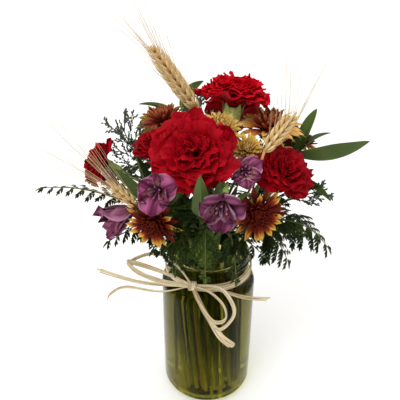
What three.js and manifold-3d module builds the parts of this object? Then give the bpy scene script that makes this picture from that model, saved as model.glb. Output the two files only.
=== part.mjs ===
// A mixed bouquet standing in a green glass canning jar: bronze spray chrysanthemums, red
// carnations, purple alstroemeria, bearded wheat, leatherleaf fern, long-leaved foliage and
// sea lavender, held by water in the jar and finished with a raffia bow round its neck.
// Millimetres, +Z up, origin at the centre of the jar's flat base. The front faces -Y.
import * as THREE from "three";
import { mergeVertices } from "three/addons/utils/BufferGeometryUtils.js";
import Module from "manifold-3d";

const wasm = await Module();
wasm.setup();

// ---- Driving dimensions ----
const JAR_HEIGHT = 172;
const JAR_RADIUS = 47.5; // body, outside
const NECK_RADIUS = 41.3; // under the lip, outside
const WALL = 4;
const BASE_THICKNESS = 6.5;
const BASE_FLAT_RADIUS = 37;
const WATER_LEVEL = 139;
const GAP = 0.35; // between pieces that touch on the real bouquet
const JAR_SIDES = 30;

const NECK_HEIGHT = 166; // where the stems are spread inside the mouth
const STEM_FOOT = BASE_THICKNESS + 0.8;
const STEM_SPACING = 1.3; // least clear width between two stems in the mouth
const STEM_TWIST = THREE.MathUtils.degToRad(26); // the spiral of a hand-tied bunch
const FOOT_SPREAD = 0.86; // the stems' feet stand a little closer together than in the mouth

const BLADE = 0.8; // thickness of petals and leaves

// ---- Where each flower stands: its centre, the way that it faces and its radius ----
const CARNATIONS = {
  front: { at: [-15, -68, 306], faces: [-0.05, -0.74, 0.67], radius: 33 },
  top: { at: [20, -2, 329], faces: [0.12, 0.25, 0.96], radius: 32 },
  right: { at: [58, -54, 282], faces: [0.35, -0.4, 0.85], radius: 26 },
  left: { at: [-94, -30, 279], faces: [-0.88, -0.1, 0.46], radius: 21 },
  shy: { at: [-48, -32, 297], faces: [-0.4, -0.2, 0.85], radius: 18 },
  back: { at: [24, 68, 290], faces: [0.15, 0.8, 0.58], radius: 30 },
};
const CHRYSANTHEMUMS = {
  left: { at: [-42, 10, 303], faces: [-0.25, 0.05, 1], radius: 24, spray: "left" },
  crest: { at: [7, -34, 312], faces: [0.2, -0.45, 0.85], radius: 20, spray: "left" },
  high: { at: [51, -10, 305], faces: [0.05, -0.2, 1], radius: 28, spray: "right" },
  side: { at: [83, 0, 288], faces: [0.6, -0.05, 0.8], radius: 17, spray: "right" },
  middle: { at: [29, -42, 298], faces: [0.05, -0.7, 0.7], radius: 15, spray: "right" },
  low_left: { at: [-45, -86, 254], faces: [-0.28, -0.95, -0.1], radius: 23, spray: "low_left" },
  low_right: { at: [36, -82, 260], faces: [0.25, -0.93, 0.15], radius: 23, spray: "low_right" },
  back_left: { at: [-50, 56, 284], faces: [-0.45, 0.75, 0.5], radius: 25, spray: "back" },
  back_right: { at: [74, 56, 262], faces: [0.6, 0.7, 0.35], radius: 23, spray: "back" },
};
const ALSTROEMERIAS = {
  front: { at: [-41, -103, 291], faces: [-0.2, -0.9, 0.35], radius: 21, stem: "left" },
  low: { at: [-78, -65, 246], faces: [-0.82, -0.42, -0.3], radius: 26, stem: "left" },
  half_open: { at: [-84, -48, 272], faces: [-0.65, -0.3, 0.7], radius: 12, stem: "left" },
  centre: { at: [7, -113, 284], faces: [-0.15, -0.95, -0.15], radius: 21, stem: "right" },
  upper: { at: [26, -68, 291], faces: [0.1, -0.85, 0.5], radius: 16, stem: "right" },
};
// Ears of wheat run from where the stalk meets the ear to its tip. The beard's awns run about one
// direction, spreading apart.
const WHEAT = {
  tall: {
    from: [-12, -8, 319],
    to: [-54, 2, 376],
    beard: 46,
    awns: [-0.5, 0.05, 0.86],
    spread: 0.24,
    stalk: [-4, 0, 250],
  },
  right: {
    from: [41, -62, 306],
    to: [69, -40, 332],
    beard: 68,
    awns: [0.05, 0.4, 0.9],
    spread: 0.26,
    stalk: [33, -58, 262],
  },
  left: {
    from: [-57, -81, 264],
    to: [-84, -76, 288],
    beard: 58,
    awns: [-0.82, 0.2, 0.42],
    spread: 0.32,
    stalk: [-38, -50, 218],
  },
};
// Fern fronds arch from the jar's mouth to their tip; width is across the leaflets at the base.
const FRONDS = {
  front: { leaves: [-5, -58, 232], to: [-6, -82, 200], rise: 34, width: 54 },
  front_right: { leaves: [14, -54, 228], to: [24, -68, 184], rise: 30, width: 40 },
  front_left: { leaves: [-22, -52, 220], to: [-30, -76, 196], rise: 26, width: 38 },
  right_low: { leaves: [40, -36, 216], to: [70, -58, 190], rise: 26, width: 44 },
  right: { leaves: [50, -28, 230], to: [112, -38, 214], rise: 26, width: 56 },
  right_front: { leaves: [44, -52, 234], to: [96, -64, 226], rise: 18, width: 42 },
  left_low: { leaves: [-38, -40, 220], to: [-90, -60, 222], rise: 16, width: 40 },
  left: { leaves: [-72, -34, 242], to: [-150, -34, 260], rise: 14, width: 24 },
  back: { leaves: [6, 58, 226], to: [14, 112, 196], rise: 34, width: 58 },
  back_left: { leaves: [-50, 36, 228], to: [-104, 74, 214], rise: 30, width: 54 },
  back_right: { leaves: [52, 28, 226], to: [104, 66, 206], rise: 28, width: 52 },
};
// Long smooth leaves: where each leaves its stalk, its tip, its width, how far it arches up and
// how far it is rolled about its midrib, in degrees.
const LEAFY_STALKS = {
  right: {
    stalk: [[48, -20, 236], [66, -21, 262], [76, -20, 284]],
    leaves: [
      { from: [75, -20, 282], to: [132, -32, 302], width: 21, rise: -9, roll: -32 },
      { from: [76, -19, 284], to: [106, -4, 298], width: 10, rise: 3, roll: -20 },
      { from: [75, -18, 283], to: [94, 8, 316], width: 10, rise: 3 },
      { from: [75, -18, 283], to: [72, 30, 302], width: 9, rise: 6 },
      { from: [65, -21, 260], to: [104, -42, 250], width: 12, rise: 5 },
    ],
  },
  back: {
    stalk: [[-16, 34, 232], [-24, 50, 268], [-28, 58, 306]],
    leaves: [
      { from: [-21, 44, 254], to: [-84, 52, 262], width: 14, rise: 6 },
      { from: [-24, 50, 268], to: [-18, 104, 290], width: 14, rise: 6 },
      { from: [-26, 54, 284], to: [-68, 40, 308], width: 12, rise: 5 },
      { from: [-28, 58, 298], to: [-6, 84, 318], width: 12, rise: 4 },
      { from: [-19, 40, 246], to: [8, 98, 244], width: 13, rise: 6 },
    ],
  },
};
const SEA_LAVENDER = {
  left: { from: [-52, -26, 250], to: [-78, -15, 312], twigs: 12 },
  right: { from: [62, -24, 238], to: [102, -30, 256], twigs: 8 },
  back: { from: [-6, 24, 248], to: [-12, 60, 308], twigs: 8 },
};

const COLOURS = {
  glass: { color: 0x66702c, roughness: 0.08, metalness: 0, transparent: true, opacity: 0.45 },
  water: { color: 0x8a9448, roughness: 0.05, metalness: 0, transparent: true, opacity: 0.35 },
  raffia: { color: 0xd9c79c, roughness: 0.75, metalness: 0 },
  carnation: { color: 0xb0050f, roughness: 0.6, metalness: 0 },
  chrysanthemum: { color: 0x8a3416, roughness: 0.6, metalness: 0 },
  alstroemeria: { color: 0x8c3f80, roughness: 0.5, metalness: 0 },
  straw: { color: 0xc9a462, roughness: 0.7, metalness: 0 },
  stem: { color: 0x5d7a2c, roughness: 0.6, metalness: 0 },
  leaf: { color: 0x33561d, roughness: 0.5, metalness: 0 },
  fern: { color: 0x2a4a1c, roughness: 0.55, metalness: 0 },
  lavender: { color: 0x5c6650, roughness: 0.8, metalness: 0 },
};

// ---- Vectors and chance ----
const vec = (p) => (p.isVector3 ? p.clone() : new THREE.Vector3(...p));
const unit = (p) => vec(p).normalize();
const mix = (a, b, t) => vec(a).lerp(vec(b), t);
const rad = THREE.MathUtils.degToRad;

function chance(seed) {
  let state = seed >>> 0;
  return () => {
    state = (Math.imul(state, 1664525) + 1013904223) >>> 0;
    return state / 4294967296;
  };
}

// Two unit vectors at right angles to a direction, the second as near upward as it can be. With
// the direction they make a right-handed frame.
function across(direction, hint = [0, 0, 1]) {
  const side = new THREE.Vector3().crossVectors(vec(hint), direction);
  if (side.lengthSq() < 1e-4) side.crossVectors(new THREE.Vector3(1, 0, 0), direction);
  side.normalize();
  return [side, new THREE.Vector3().crossVectors(direction, side).normalize()];
}

// A point given by its distances along three directions from an origin.
const place = (origin, ...steps) =>
  steps.reduce((p, [direction, distance]) => p.addScaledVector(direction, distance), vec(origin));

// ---- Solids ----
function solidOf(points, faces) {
  const make = (triangles) =>
    new wasm.Manifold(
      new wasm.Mesh({
        numProp: 3,
        vertProperties: Float32Array.from(points.flatMap((p) => [p.x, p.y, p.z])),
        triVerts: Uint32Array.from(triangles.flat()),
      }),
    );
  const solid = make(faces);
  return solid.volume() < 0 ? make(faces.map(([a, b, c]) => [a, c, b])) : solid;
}

function solidOfGeometry(geometry) {
  const plain = geometry.clone();
  plain.deleteAttribute("normal");
  plain.deleteAttribute("uv");
  const merged = mergeVertices(plain, 1e-4);
  const at = merged.attributes.position;
  const points = Array.from({ length: at.count }, (_, i) =>
    new THREE.Vector3().fromBufferAttribute(at, i),
  );
  const index = Array.from(merged.index.array);
  const faces = [];
  for (let i = 0; i < index.length; i += 3) faces.push(index.slice(i, i + 3));
  return solidOf(points, faces);
}

// A solid through a run of rings. Each ring has the same number of points, or is one point.
function loft(rings) {
  const points = rings.flat();
  const starts = rings.map((_, i) => rings.slice(0, i).reduce((n, ring) => n + ring.length, 0));
  const faces = [];
  rings.slice(1).forEach((next, i) => {
    const [here, there] = [starts[i], starts[i + 1]];
    const [n, m] = [rings[i].length, next.length];
    const sides = Math.max(n, m);
    for (let k = 0; k < sides; k++) {
      const l = (k + 1) % sides;
      if (n > 1) faces.push([here + k, here + l, there + (m > 1 ? l : 0)]);
      if (m > 1) faces.push([here + (n > 1 ? k : 0), there + l, there + k]);
    }
  });
  const cap = (start, count, turn) => {
    for (let k = 1; k < count - 1; k++)
      faces.push(turn ? [start, start + k, start + k + 1] : [start, start + k + 1, start + k]);
  };
  cap(starts[0], rings[0].length, false);
  cap(starts.at(-1), rings.at(-1).length, true);
  return solidOf(points, faces);
}

function ring(centre, u, v, radiusU, radiusV, sides) {
  return Array.from({ length: sides }, (_, k) => {
    const turn = (2 * Math.PI * k) / sides;
    return place(centre, [u, radiusU * Math.cos(turn)], [v, radiusV * Math.sin(turn)]);
  });
}

// A round rod through a list of points, with a radius at each.
function rod(points, radii, sides) {
  let side = null;
  const rings = points.map((p, i) => {
    const ahead = points[Math.min(i + 1, points.length - 1)];
    const behind = points[Math.max(i - 1, 0)];
    const along = ahead.clone().sub(behind).normalize();
    side = side
      ? side.clone().addScaledVector(along, -side.dot(along)).normalize()
      : across(along, [0, 1, 0])[0];
    const up = new THREE.Vector3().crossVectors(along, side);
    return ring(p, side, up, radii[i], radii[i], sides);
  });
  return loft(rings);
}

// Faces of a sheet between two alike sets of rows of point numbers, split into the same
// triangles above and below. Rows may differ in their number of points, and an open sheet has
// no wall across its first row.
function sheetFaces(lower, upper, open = false) {
  const faces = [];
  const both = (...corners) => {
    faces.push(corners.map(([i, j]) => lower[i][j]));
    faces.push(corners.map(([i, j]) => upper[i][j]).reverse());
  };
  const wall = ([i, j], [k, l]) => {
    faces.push([lower[i][j], lower[k][l], upper[k][l]]);
    faces.push([lower[i][j], upper[k][l], upper[i][j]]);
  };
  const last = lower.length - 1;
  for (let i = 0; i < last; i++) {
    const [n, m] = [lower[i].length - 1, lower[i + 1].length - 1];
    let [a, b] = [0, 0];
    while (a < n || b < m) {
      if (b === m || (a < n && (a + 0.5) * m <= (b + 0.5) * n)) {
        both([i, a], [i, a + 1], [i + 1, b]);
        a += 1;
      } else {
        both([i, a], [i + 1, b + 1], [i + 1, b]);
        b += 1;
      }
    }
    wall([i, 0], [i + 1, 0]);
    wall([i + 1, m], [i, n]);
  }
  for (let j = 1; j < lower[last].length; j++) wall([last, j - 1], [last, j]);
  if (!open) for (let j = 1; j < lower[0].length; j++) wall([0, j], [0, j - 1]);
  return faces.filter((face) => new Set(face).size === 3);
}

// A sheet of one thickness through rows of points.
function blade(rows, thickness = BLADE) {
  const atShare = (row, share) => row[Math.round(share * (row.length - 1))];
  const normalAt = (i, j) => {
    const share = rows[i].length > 1 ? j / (rows[i].length - 1) : 0.5;
    const wide = rows[i].length > 1 ? rows[i] : rows[i > 0 ? i - 1 : i + 1];
    const k = Math.round(share * (wide.length - 1));
    const cross = wide[Math.min(k + 1, wide.length - 1)].clone().sub(wide[Math.max(k - 1, 0)]);
    const before = atShare(rows[Math.max(i - 1, 0)], share);
    const after = atShare(rows[Math.min(i + 1, rows.length - 1)], share);
    return cross.cross(after.clone().sub(before)).normalize();
  };
  const points = [];
  const sheet = (half) =>
    rows.map((row, i) =>
      row.map((p, j) => points.push(place(p, [normalAt(i, j), half * thickness])) - 1),
    );
  return solidOf(points, sheetFaces(sheet(-0.5), sheet(0.5)));
}

// A flower head in one surface: a core in bands of facets, where each facet opens into a petal.
// A petal is rows of lower and upper points beyond its facet's two edges.
function head(core, petalOf, extras = []) {
  const sides = core[0].length;
  const points = core.flat();
  const faces = [];
  const grown = [];
  for (let band = 0; band < core.length - 1; band++)
    for (let k = 0; k < sides; k++) {
      const corner = (i, j) => (band + i) * sides + ((k + j) % sides);
      const [a, b, c, d] = [corner(0, 0), corner(0, 1), corner(1, 1), corner(1, 0)];
      const facet = [a, b, c, d].map((i) => points[i]);
      const petal = petalOf(band, k, facet, grown);
      if (!petal) {
        faces.push([a, b, c], [a, c, d]);
        continue;
      }
      grown.push(petal.solid);
      const rows = petal.rows.map(([low, high]) => {
        const under = low.map((p) => points.push(p) - 1);
        return [under, high ? high.map((p) => points.push(p) - 1) : under];
      });
      const lower = [[a, b], ...rows.map(([under]) => under)];
      const upper = [[d, c], ...rows.map(([, over]) => over)];
      faces.push(...sheetFaces(lower, upper, true));
    }
  const top = (core.length - 1) * sides;
  for (let k = 1; k < sides - 1; k++) faces.push([0, k + 1, k], [top, top + k, top + k + 1]);
  return [solidOf(points, faces), ...extras];
}

// A petal on its own, to test where it lies.
function petalSolid([a, b, c, d], rows) {
  const points = [a, b, d, c];
  const numbered = rows.map(([low, high]) => {
    const under = low.map((p) => points.push(p) - 1);
    return [under, high ? high.map((p) => points.push(p) - 1) : under];
  });
  const lower = [[0, 1], ...numbered.map(([under]) => under)];
  const upper = [[2, 3], ...numbered.map(([, over]) => over)];
  return solidOf(points, sheetFaces(lower, upper));
}

// The first of several shapes for a petal that is clear of other pieces and of its neighbours.
function growPetal(facet, grown, shares, leans, rowsOf) {
  for (const share of shares)
    for (const lean of leans) {
      const rows = rowsOf(share, lean);
      const solid = petalSolid(facet, rows);
      const touches = grown.some((other) => solid.intersect(other).volume() > 0.02);
      if (!touches && clear(solid)) return { rows, solid };
    }
  return null;
}

// ---- The bouquet: each finished piece, and the test that a new one stays clear of them ----
const bouquet = new THREE.Group();
const finished = new Map();

function overlapsBox(a, b) {
  return [0, 1, 2].every((k) => a.min[k] <= b.max[k] + GAP && b.min[k] <= a.max[k] + GAP);
}

function clear(solid, gap = GAP) {
  const box = solid.boundingBox();
  for (const other of finished.values())
    if (overlapsBox(box, other.box) && solid.minGap(other.solid, gap) < gap) return false;
  return true;
}

// The first of several ways to make a piece that stays clear of the finished ones, or null.
function firstClear(ways) {
  for (const way of ways) {
    const solid = way();
    if (clear(solid)) return solid;
  }
  return null;
}

function finish(name, parts, colour) {
  const joined = wasm.Manifold.union(parts.filter(Boolean));
  const whole = joined.decompose().sort((a, b) => b.volume() - a.volume())[0];
  finished.set(name, { solid: whole, box: whole.boundingBox() });
  const { vertProperties, triVerts, numProp } = whole.getMesh();
  const geometry = new THREE.BufferGeometry();
  const xyz = new Float32Array((vertProperties.length / numProp) * 3);
  for (let i = 0; i < xyz.length; i++)
    xyz[i] = vertProperties[Math.floor(i / 3) * numProp + (i % 3)];
  geometry.setAttribute("position", new THREE.BufferAttribute(xyz, 3));
  geometry.setIndex(new THREE.BufferAttribute(triVerts, 1));
  const mesh = new THREE.Mesh(geometry, new THREE.MeshStandardMaterial(COLOURS[colour]));
  mesh.name = name;
  bouquet.add(mesh);
  return whole;
}

// ---- Jar: pressed glass with a wide mouth, a beaded thread and a rounded heel ----
const INNER_NECK = NECK_RADIUS - 4.6;
const INNER_RADIUS = JAR_RADIUS - WALL;
const arc = (r, z, radius, from, to, steps) =>
  Array.from({ length: steps + 1 }, (_, i) => {
    const turn = rad(from + ((to - from) * i) / steps);
    return [r + radius * Math.cos(turn), z + radius * Math.sin(turn)];
  });

function jar() {
  const heel = JAR_RADIUS - BASE_FLAT_RADIUS;
  const profile = [
    [0, 0],
    ...arc(BASE_FLAT_RADIUS, heel, heel, -90, 0, 3),
    ...arc(JAR_RADIUS - 7, 136, 7, 0, 70, 2),
    [NECK_RADIUS, 147],
    [NECK_RADIUS, 160],
    [NECK_RADIUS + 1.6, 162.5],
    [NECK_RADIUS, 165],
    [NECK_RADIUS - 0.5, JAR_HEIGHT],
    [INNER_NECK, JAR_HEIGHT],
    [INNER_NECK, 147],
    [INNER_RADIUS, 135],
    [INNER_RADIUS, 17],
    [INNER_RADIUS - 7, BASE_THICKNESS],
    [0, BASE_THICKNESS],
  ].map(([r, z]) => new THREE.Vector2(r, z));
  finish("jar", [turned(profile)], "glass");
}

// LatheGeometry turns about Y, so the profile's height is brought up to Z.
const turned = (profile, sides = JAR_SIDES) =>
  solidOfGeometry(new THREE.LatheGeometry(profile, sides).rotateX(Math.PI / 2));

// ---- Stems: spread inside the mouth by pushing neighbours apart, then twisted to their feet ----
const stems = [];

function spreadStems() {
  for (const stem of stems) {
    const lean = new THREE.Vector2(stem.aim.x, stem.aim.y).multiplyScalar(0.42);
    stem.mouth = lean.clampLength(0, INNER_NECK - 6);
  }
  for (let round = 0; round < 400; round++) {
    for (const a of stems)
      for (const b of stems) {
        if (a === b) continue;
        const away = a.mouth.clone().sub(b.mouth);
        const wanted = (a.radius + b.radius + STEM_SPACING) / FOOT_SPREAD;
        if (away.length() < wanted)
          a.mouth.addScaledVector(away.normalize(), (wanted - away.length()) * 0.3);
      }
    for (const stem of stems) stem.mouth.clampLength(0, INNER_NECK - stem.radius - 1);
  }
  for (const stem of stems) {
    const foot = stem.mouth
      .clone()
      .multiplyScalar(FOOT_SPREAD)
      .rotateAround(new THREE.Vector2(), STEM_TWIST);
    stem.foot = new THREE.Vector3(foot.x, foot.y, STEM_FOOT);
    stem.neck = new THREE.Vector3(stem.mouth.x, stem.mouth.y, NECK_HEIGHT);
  }
}

// Points along a bend that leaves one point and arrives at another along given directions. Its
// middle can be swung aside, to pass another stem.
function bend(from, leaving, to, arriving, steps, swing = [0, 0]) {
  const reach = from.distanceTo(to);
  const [u, v] = across(to.clone().sub(from).normalize());
  const aside = (p) => place(p, [u, swing[0]], [v, swing[1]]);
  const curve = new THREE.CubicBezierCurve3(
    from,
    aside(place(from, [leaving, 0.36 * reach])),
    aside(place(to, [arriving, -0.4 * reach])),
    to,
  );
  return curve.getPoints(steps);
}

// The length under the mouth is straight, so that the water's hole for it is a plain prism.
const rising = (stem) => stem.neck.clone().sub(stem.foot).normalize();
const footLength = (stem, extra) =>
  rod(
    [place(stem.foot, [rising(stem), -extra * 8]), stem.neck],
    [stem.radius + extra, stem.radius + extra],
    stem.sides,
  );

// A stem in one rod from its foot to its flower. The other flowers of a spray leave it at a fork.
function stemParts(stem, swing) {
  const up = rising(stem);
  const [first, ...rest] = stem.ends;
  const fork = rest.length ? vec(stem.fork) : vec(first.at);
  const middle = stem.ends
    .reduce((sum, end) => sum.add(vec(end.at)), new THREE.Vector3())
    .divideScalar(stem.ends.length);
  const heading = rest.length ? middle.sub(fork).normalize() : unit(first.along);
  const points = [stem.foot, ...bend(stem.neck, up, fork, heading, 4, swing)];
  const radii = points.map((_, i) => stem.radius * (i < 2 ? 1 : 1 - 0.05 * i));
  const thin = stem.radius * 0.7;
  const reach = ({ at, along, cap = [], beyond = [] }, path, widths) => {
    if (rest.length) {
      path.push(...bend(fork, heading, vec(at), unit(along), 3, swing).slice(1));
      widths.push(thin, thin, thin);
    }
    path.push(...cap.map(([height]) => place(at, [unit(along), height])));
    widths.push(...cap.map(([, radius]) => radius));
    path.push(...beyond.map(([point]) => vec(point)));
    widths.push(...beyond.map(([, radius]) => radius));
    return rod(path, widths, stem.sides);
  };
  const branches = rest.map((end) => reach(end, [place(fork, [heading, 0.5])], [thin]));
  return [reach(first, points, radii), ...branches];
}

function addStem(name, radius, ends, options = {}) {
  const aim = options.fork ? vec(options.fork) : vec(ends[0].at);
  const stem = { name, radius, ends, aim, sides: 5, colour: "stem", ...options };
  stems.push(stem);
  return stem;
}

// ---- Carnations: a long calyx, and fringed petals in three whorls ----
const CARNATION_WHORLS = [
  { tilt: 90, length: 0.8, spread: 0.56, turn: 0 },
  { tilt: 60, length: 0.8, spread: 0.5, turn: 16 },
  { tilt: 26, length: 0.74, spread: 0.34, turn: -10 },
];
const PETAL_TWIST = 0.4; // each petal's one edge lies under the next petal
const CARNATION_THROAT = 0.3; // how far behind its centre a bloom leaves the calyx, in radii

// Where a bloom's petals leave its calyx.
const throat = (flower, share) => place(flower.at, [unit(flower.faces), -share * flower.radius]);

// The rings that close a stem under its bloom: heights from the stem's end, and radii.
const calyxOf = (r) => [
  [0.14 * r, 0.2 * r],
  [0.55 * r, 0.25 * r],
  [0.62 * r, 0.17 * r],
];

// Rows of a petal beyond its facet, from points given along it, across it and above it.
function petalRows(facet, outward, axis, side, length, tilt, rows) {
  const root = facet.reduce((sum, p) => sum.add(p), new THREE.Vector3()).divideScalar(4);
  const at = ([s, w, lift], half) => {
    const lean = rad(typeof tilt === "function" ? tilt(s) : tilt);
    const above = lift + (half * BLADE) / length;
    return place(
      root,
      [outward, (s * Math.sin(lean) - above * Math.cos(lean)) * length],
      [axis, (s * Math.cos(lean) + above * Math.sin(lean)) * length],
      [side, w * length],
    );
  };
  return rows.map((row) =>
    row.pointed
      ? [row.pointed.map((p) => at(p, 0))]
      : [row.map((p) => at(p, -0.5)), row.map((p) => at(p, 0.5))],
  );
}

// A core of stacked rings along an axis, from heights and radii.
const coreOf = (root, axis, [u, v], sides, profile) =>
  profile.map(([height, r]) => ring(place(root, [axis, height]), u, v, r, r, sides));

const direction = ([u, v], degrees) =>
  place([0, 0, 0], [u, Math.cos(rad(degrees))], [v, Math.sin(rad(degrees))]);

// Tries a piece at full length and as it leans, then shorter, until it is clear of the others.
const tries = (shares, leans, make) =>
  firstClear(shares.flatMap((share) => leans.map((lean) => () => make(share, lean))));

function carnationBloom(name, flower, seed) {
  const draw = chance(seed);
  const axis = unit(flower.faces);
  const frame = across(axis);
  const root = place(throat(flower, CARNATION_THROAT), [axis, GAP]);
  const r = flower.radius;
  const core = coreOf(root, axis, frame, 6, [
    [0, 0.2 * r],
    [0.12 * r, 0.27 * r],
    [0.27 * r, 0.25 * r],
    [0.42 * r, 0.13 * r],
  ]);
  const petal = (band, k, facet, grown) => {
    const whorl = CARNATION_WHORLS[band];
    const outward = direction(frame, 60 * k + 30 + whorl.turn + 4 * (draw() - 0.5));
    const side = new THREE.Vector3().crossVectors(axis, outward);
    const length = whorl.length * r * (0.95 + 0.1 * draw());
    const fringe = [
      [0.8, -1, 0.06],
      [1.02, -0.52, -0.07],
      [0.88, 0, 0.08],
      [1.04, 0.52, -0.07],
      [0.82, 1, 0.06],
    ].map(([s, w, lift]) => [s, w * whorl.spread, lift + PETAL_TWIST * w * whorl.spread]);
    const rowsOf = (share, lean) =>
      petalRows(facet, outward, axis, side, length * share, whorl.tilt + lean, [fringe]);
    return growPetal(facet, grown, [1, 0.85, 0.7, 0.55], [0, -8, 8, -16, -26], rowsOf);
  };
  finish(`carnation_${name}_petals`, head(core, petal), "carnation");
}

// ---- Spray chrysanthemums: a domed centre with quilled ray florets in three whorls ----
const CHRYSANTHEMUM_WHORLS = [
  { tilt: 90, length: 0.8, turn: 0 },
  { tilt: 62, length: 0.74, turn: 14 },
  { tilt: 30, length: 0.6, turn: 6, alternate: true },
];
const FLORETS = 10; // in a full whorl
const CHRYSANTHEMUM_THROAT = 0.22;
const cupOf = (r) => [
  [0.14 * r, 0.26 * r],
  [0.2 * r, 0.18 * r],
];

function chrysanthemumBloom(name, flower, seed) {
  const draw = chance(seed);
  const axis = unit(flower.faces);
  const frame = across(axis);
  const root = place(throat(flower, CHRYSANTHEMUM_THROAT), [axis, GAP]);
  const r = flower.radius;
  const core = coreOf(root, axis, frame, FLORETS, [
    [0, 0.24 * r],
    [0.1 * r, 0.28 * r],
    [0.22 * r, 0.26 * r],
    [0.34 * r, 0.15 * r],
  ]);
  const floret = (band, k, facet, grown) => {
    const whorl = CHRYSANTHEMUM_WHORLS[band];
    if (whorl.alternate && k % 2) return null;
    const turn = (360 / FLORETS) * (k + 0.5) + whorl.turn + 6 * (draw() - 0.5);
    const outward = direction(frame, turn);
    const side = new THREE.Vector3().crossVectors(axis, outward);
    const length = whorl.length * r * (0.92 + 0.14 * draw());
    const body = [
      [0.7, -0.19, -0.04],
      [0.7, 0.19, 0.04],
    ];
    const rows = [body, { pointed: [[1, 0, 0.03]] }];
    const rowsOf = (share, lean) =>
      petalRows(facet, outward, axis, side, length * share, whorl.tilt + lean, rows);
    return growPetal(facet, grown, [1, 0.85, 0.7], [0, -8, 8, -18], rowsOf);
  };
  finish(`chrysanthemum_${name}_florets`, head(core, floret), "chrysanthemum");
}

// ---- Alstroemeria: six tepals round a funnel, three broad and three narrow, with stamens ----
const ALSTROEMERIA_THROAT = 0.75;
const ovaryOf = () => [
  [3, 2.6],
  [7, 1.6],
];

function alstroemeriaBloom(name, flower) {
  const axis = unit(flower.faces);
  const frame = across(axis);
  const root = place(throat(flower, ALSTROEMERIA_THROAT), [axis, GAP]);
  const r = flower.radius;
  const core = coreOf(root, axis, frame, 6, [
    [0, 2.1],
    [0.24 * r, 3.2],
  ]);
  const tepal = (band, k, facet, grown) => {
    const broad = k % 2 === 0;
    const outward = direction(frame, 60 * k + 30);
    const side = new THREE.Vector3().crossVectors(axis, outward);
    const half = broad ? 0.38 : 0.22;
    const rows = [
      [
        [0.66, -half, 0.08],
        [0.68, 0, 0],
        [0.66, half, 0.08],
      ],
      { pointed: [[1, 0, 0]] },
    ];
    const tilt = (lean) => (s) => (broad ? 58 : 44) * (0.35 + 0.65 * s) + lean;
    const rowsOf = (share, lean) =>
      petalRows(facet, outward, axis, side, 1.2 * r * share, tilt(lean), rows);
    return growPetal(facet, grown, [1, 0.85, 0.7, 0.55], [0, -10, 10, -20, 20, -32, 32], rowsOf);
  };
  const throatEnd = place(root, [axis, 0.18 * r]);
  const stamens = [40, 160, 280].map((degrees) =>
    tries([1, 0.7], [0], (share) =>
      loft([
        ring(place(throatEnd, [direction(frame, degrees), 1.2]), ...frame, 0.6, 0.6, 3),
        [place(throatEnd, [axis, 0.8 * r * share], [direction(frame, degrees), 0.24 * r * share])],
      ]),
    ),
  );
  finish(`alstroemeria_${name}_bloom`, head(core, tepal, stamens), "alstroemeria");
}

// ---- Wheat: overlapping spikelets in two ranks up a stalk, each with a long awn ----
const SPIKELET_PITCH = 5.2;

function wheatEar(ear) {
  const from = vec(ear.from);
  const axis = vec(ear.to).sub(from).normalize();
  const length = from.distanceTo(vec(ear.to));
  const [u, v] = across(axis);
  const parts = [];
  const awns = unit(ear.awns);
  const spikelets = Math.round(length / SPIKELET_PITCH);
  for (let k = 0; k < spikelets; k++) {
    const share = k / (spikelets - 1);
    const size = share > 0.85 ? 0.7 : 1;
    const out = place([0, 0, 0], [u, k % 2 ? 1 : -1], [v, k % 4 < 2 ? 0.6 : -0.6]).normalize();
    const beside = new THREE.Vector3().crossVectors(axis, out).normalize();
    const root = place(from, [axis, share * (length - 12)]);
    const belly = place(root, [axis, 6.5 * size], [out, 4.3 * size]);
    const beak = place(root, [axis, 14 * size], [out, 5.4 * size]);
    const reach = ear.beard * (0.78 + 0.22 * share);
    const spikelet = (portion) =>
      loft([
        [root],
        ring(belly, out, beside, 2.2 * size, 2.4 * size, 4),
        ring(beak, out, beside, 0.5, 0.5, 4),
        [place(beak, [awns, reach * portion], [out, reach * ear.spread * portion])],
      ]);
    parts.push(tries([1, 0.7, 0.4, 0.1], [0], spikelet));
  }
  return parts;
}

// ---- Leatherleaf fern: one arched blade cut to the rib, on its own stalk ----
const LEAFLET_PAIRS = 7;
const DOWN = new THREE.Vector3(0, 0, -1);

function frondCurve(frond, lift = 0, turn = 0) {
  const from = vec(frond.leaves);
  const to = vec(frond.to).sub(from).applyAxisAngle(new THREE.Vector3(0, 0, 1), rad(turn)).add(from);
  to.z += lift;
  const top = place(mix(from, to, 0.5), [new THREE.Vector3(0, 0, 1), frond.rise]);
  return new THREE.QuadraticBezierCurve3(from, top, to);
}

function frondBlade(frond, shrink, [lift, turn]) {
  const curve = frondCurve(frond, lift, turn);
  const rib = [];
  const leaflets = [];
  for (let i = 0; i <= LEAFLET_PAIRS; i++) {
    const p = curve.getPoint(i / LEAFLET_PAIRS);
    const along = curve.getTangent(i / LEAFLET_PAIRS);
    const side = across(along)[0];
    rib.push([place(p, [side, -1.1]), place(p, [side, 1.1])]);
    if (i === LEAFLET_PAIRS) break;
    const share = (i + 0.5) / LEAFLET_PAIRS;
    const half = (frond.width / 2) * shrink * (1.04 - share) * (0.82 + 0.4 * Math.sin(3 * share));
    const q = curve.getPoint(share);
    const pitch = curve.getPoint(0).distanceTo(curve.getPoint(1)) / LEAFLET_PAIRS;
    const lobe = (s, reach, ahead, sink) =>
      place(q, [side, s * (half * reach + 1.4)], [along, ahead], [DOWN, half * sink]);
    leaflets.push(
      [-1, 1].map((s) => [
        lobe(s, 0.62, 0.36 * half - 0.2 * pitch, 0.08),
        lobe(s, 1, 0.62 * half + 0.1 * pitch, 0.2),
      ]),
    );
  }
  return cutBlade(rib, leaflets);
}

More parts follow.
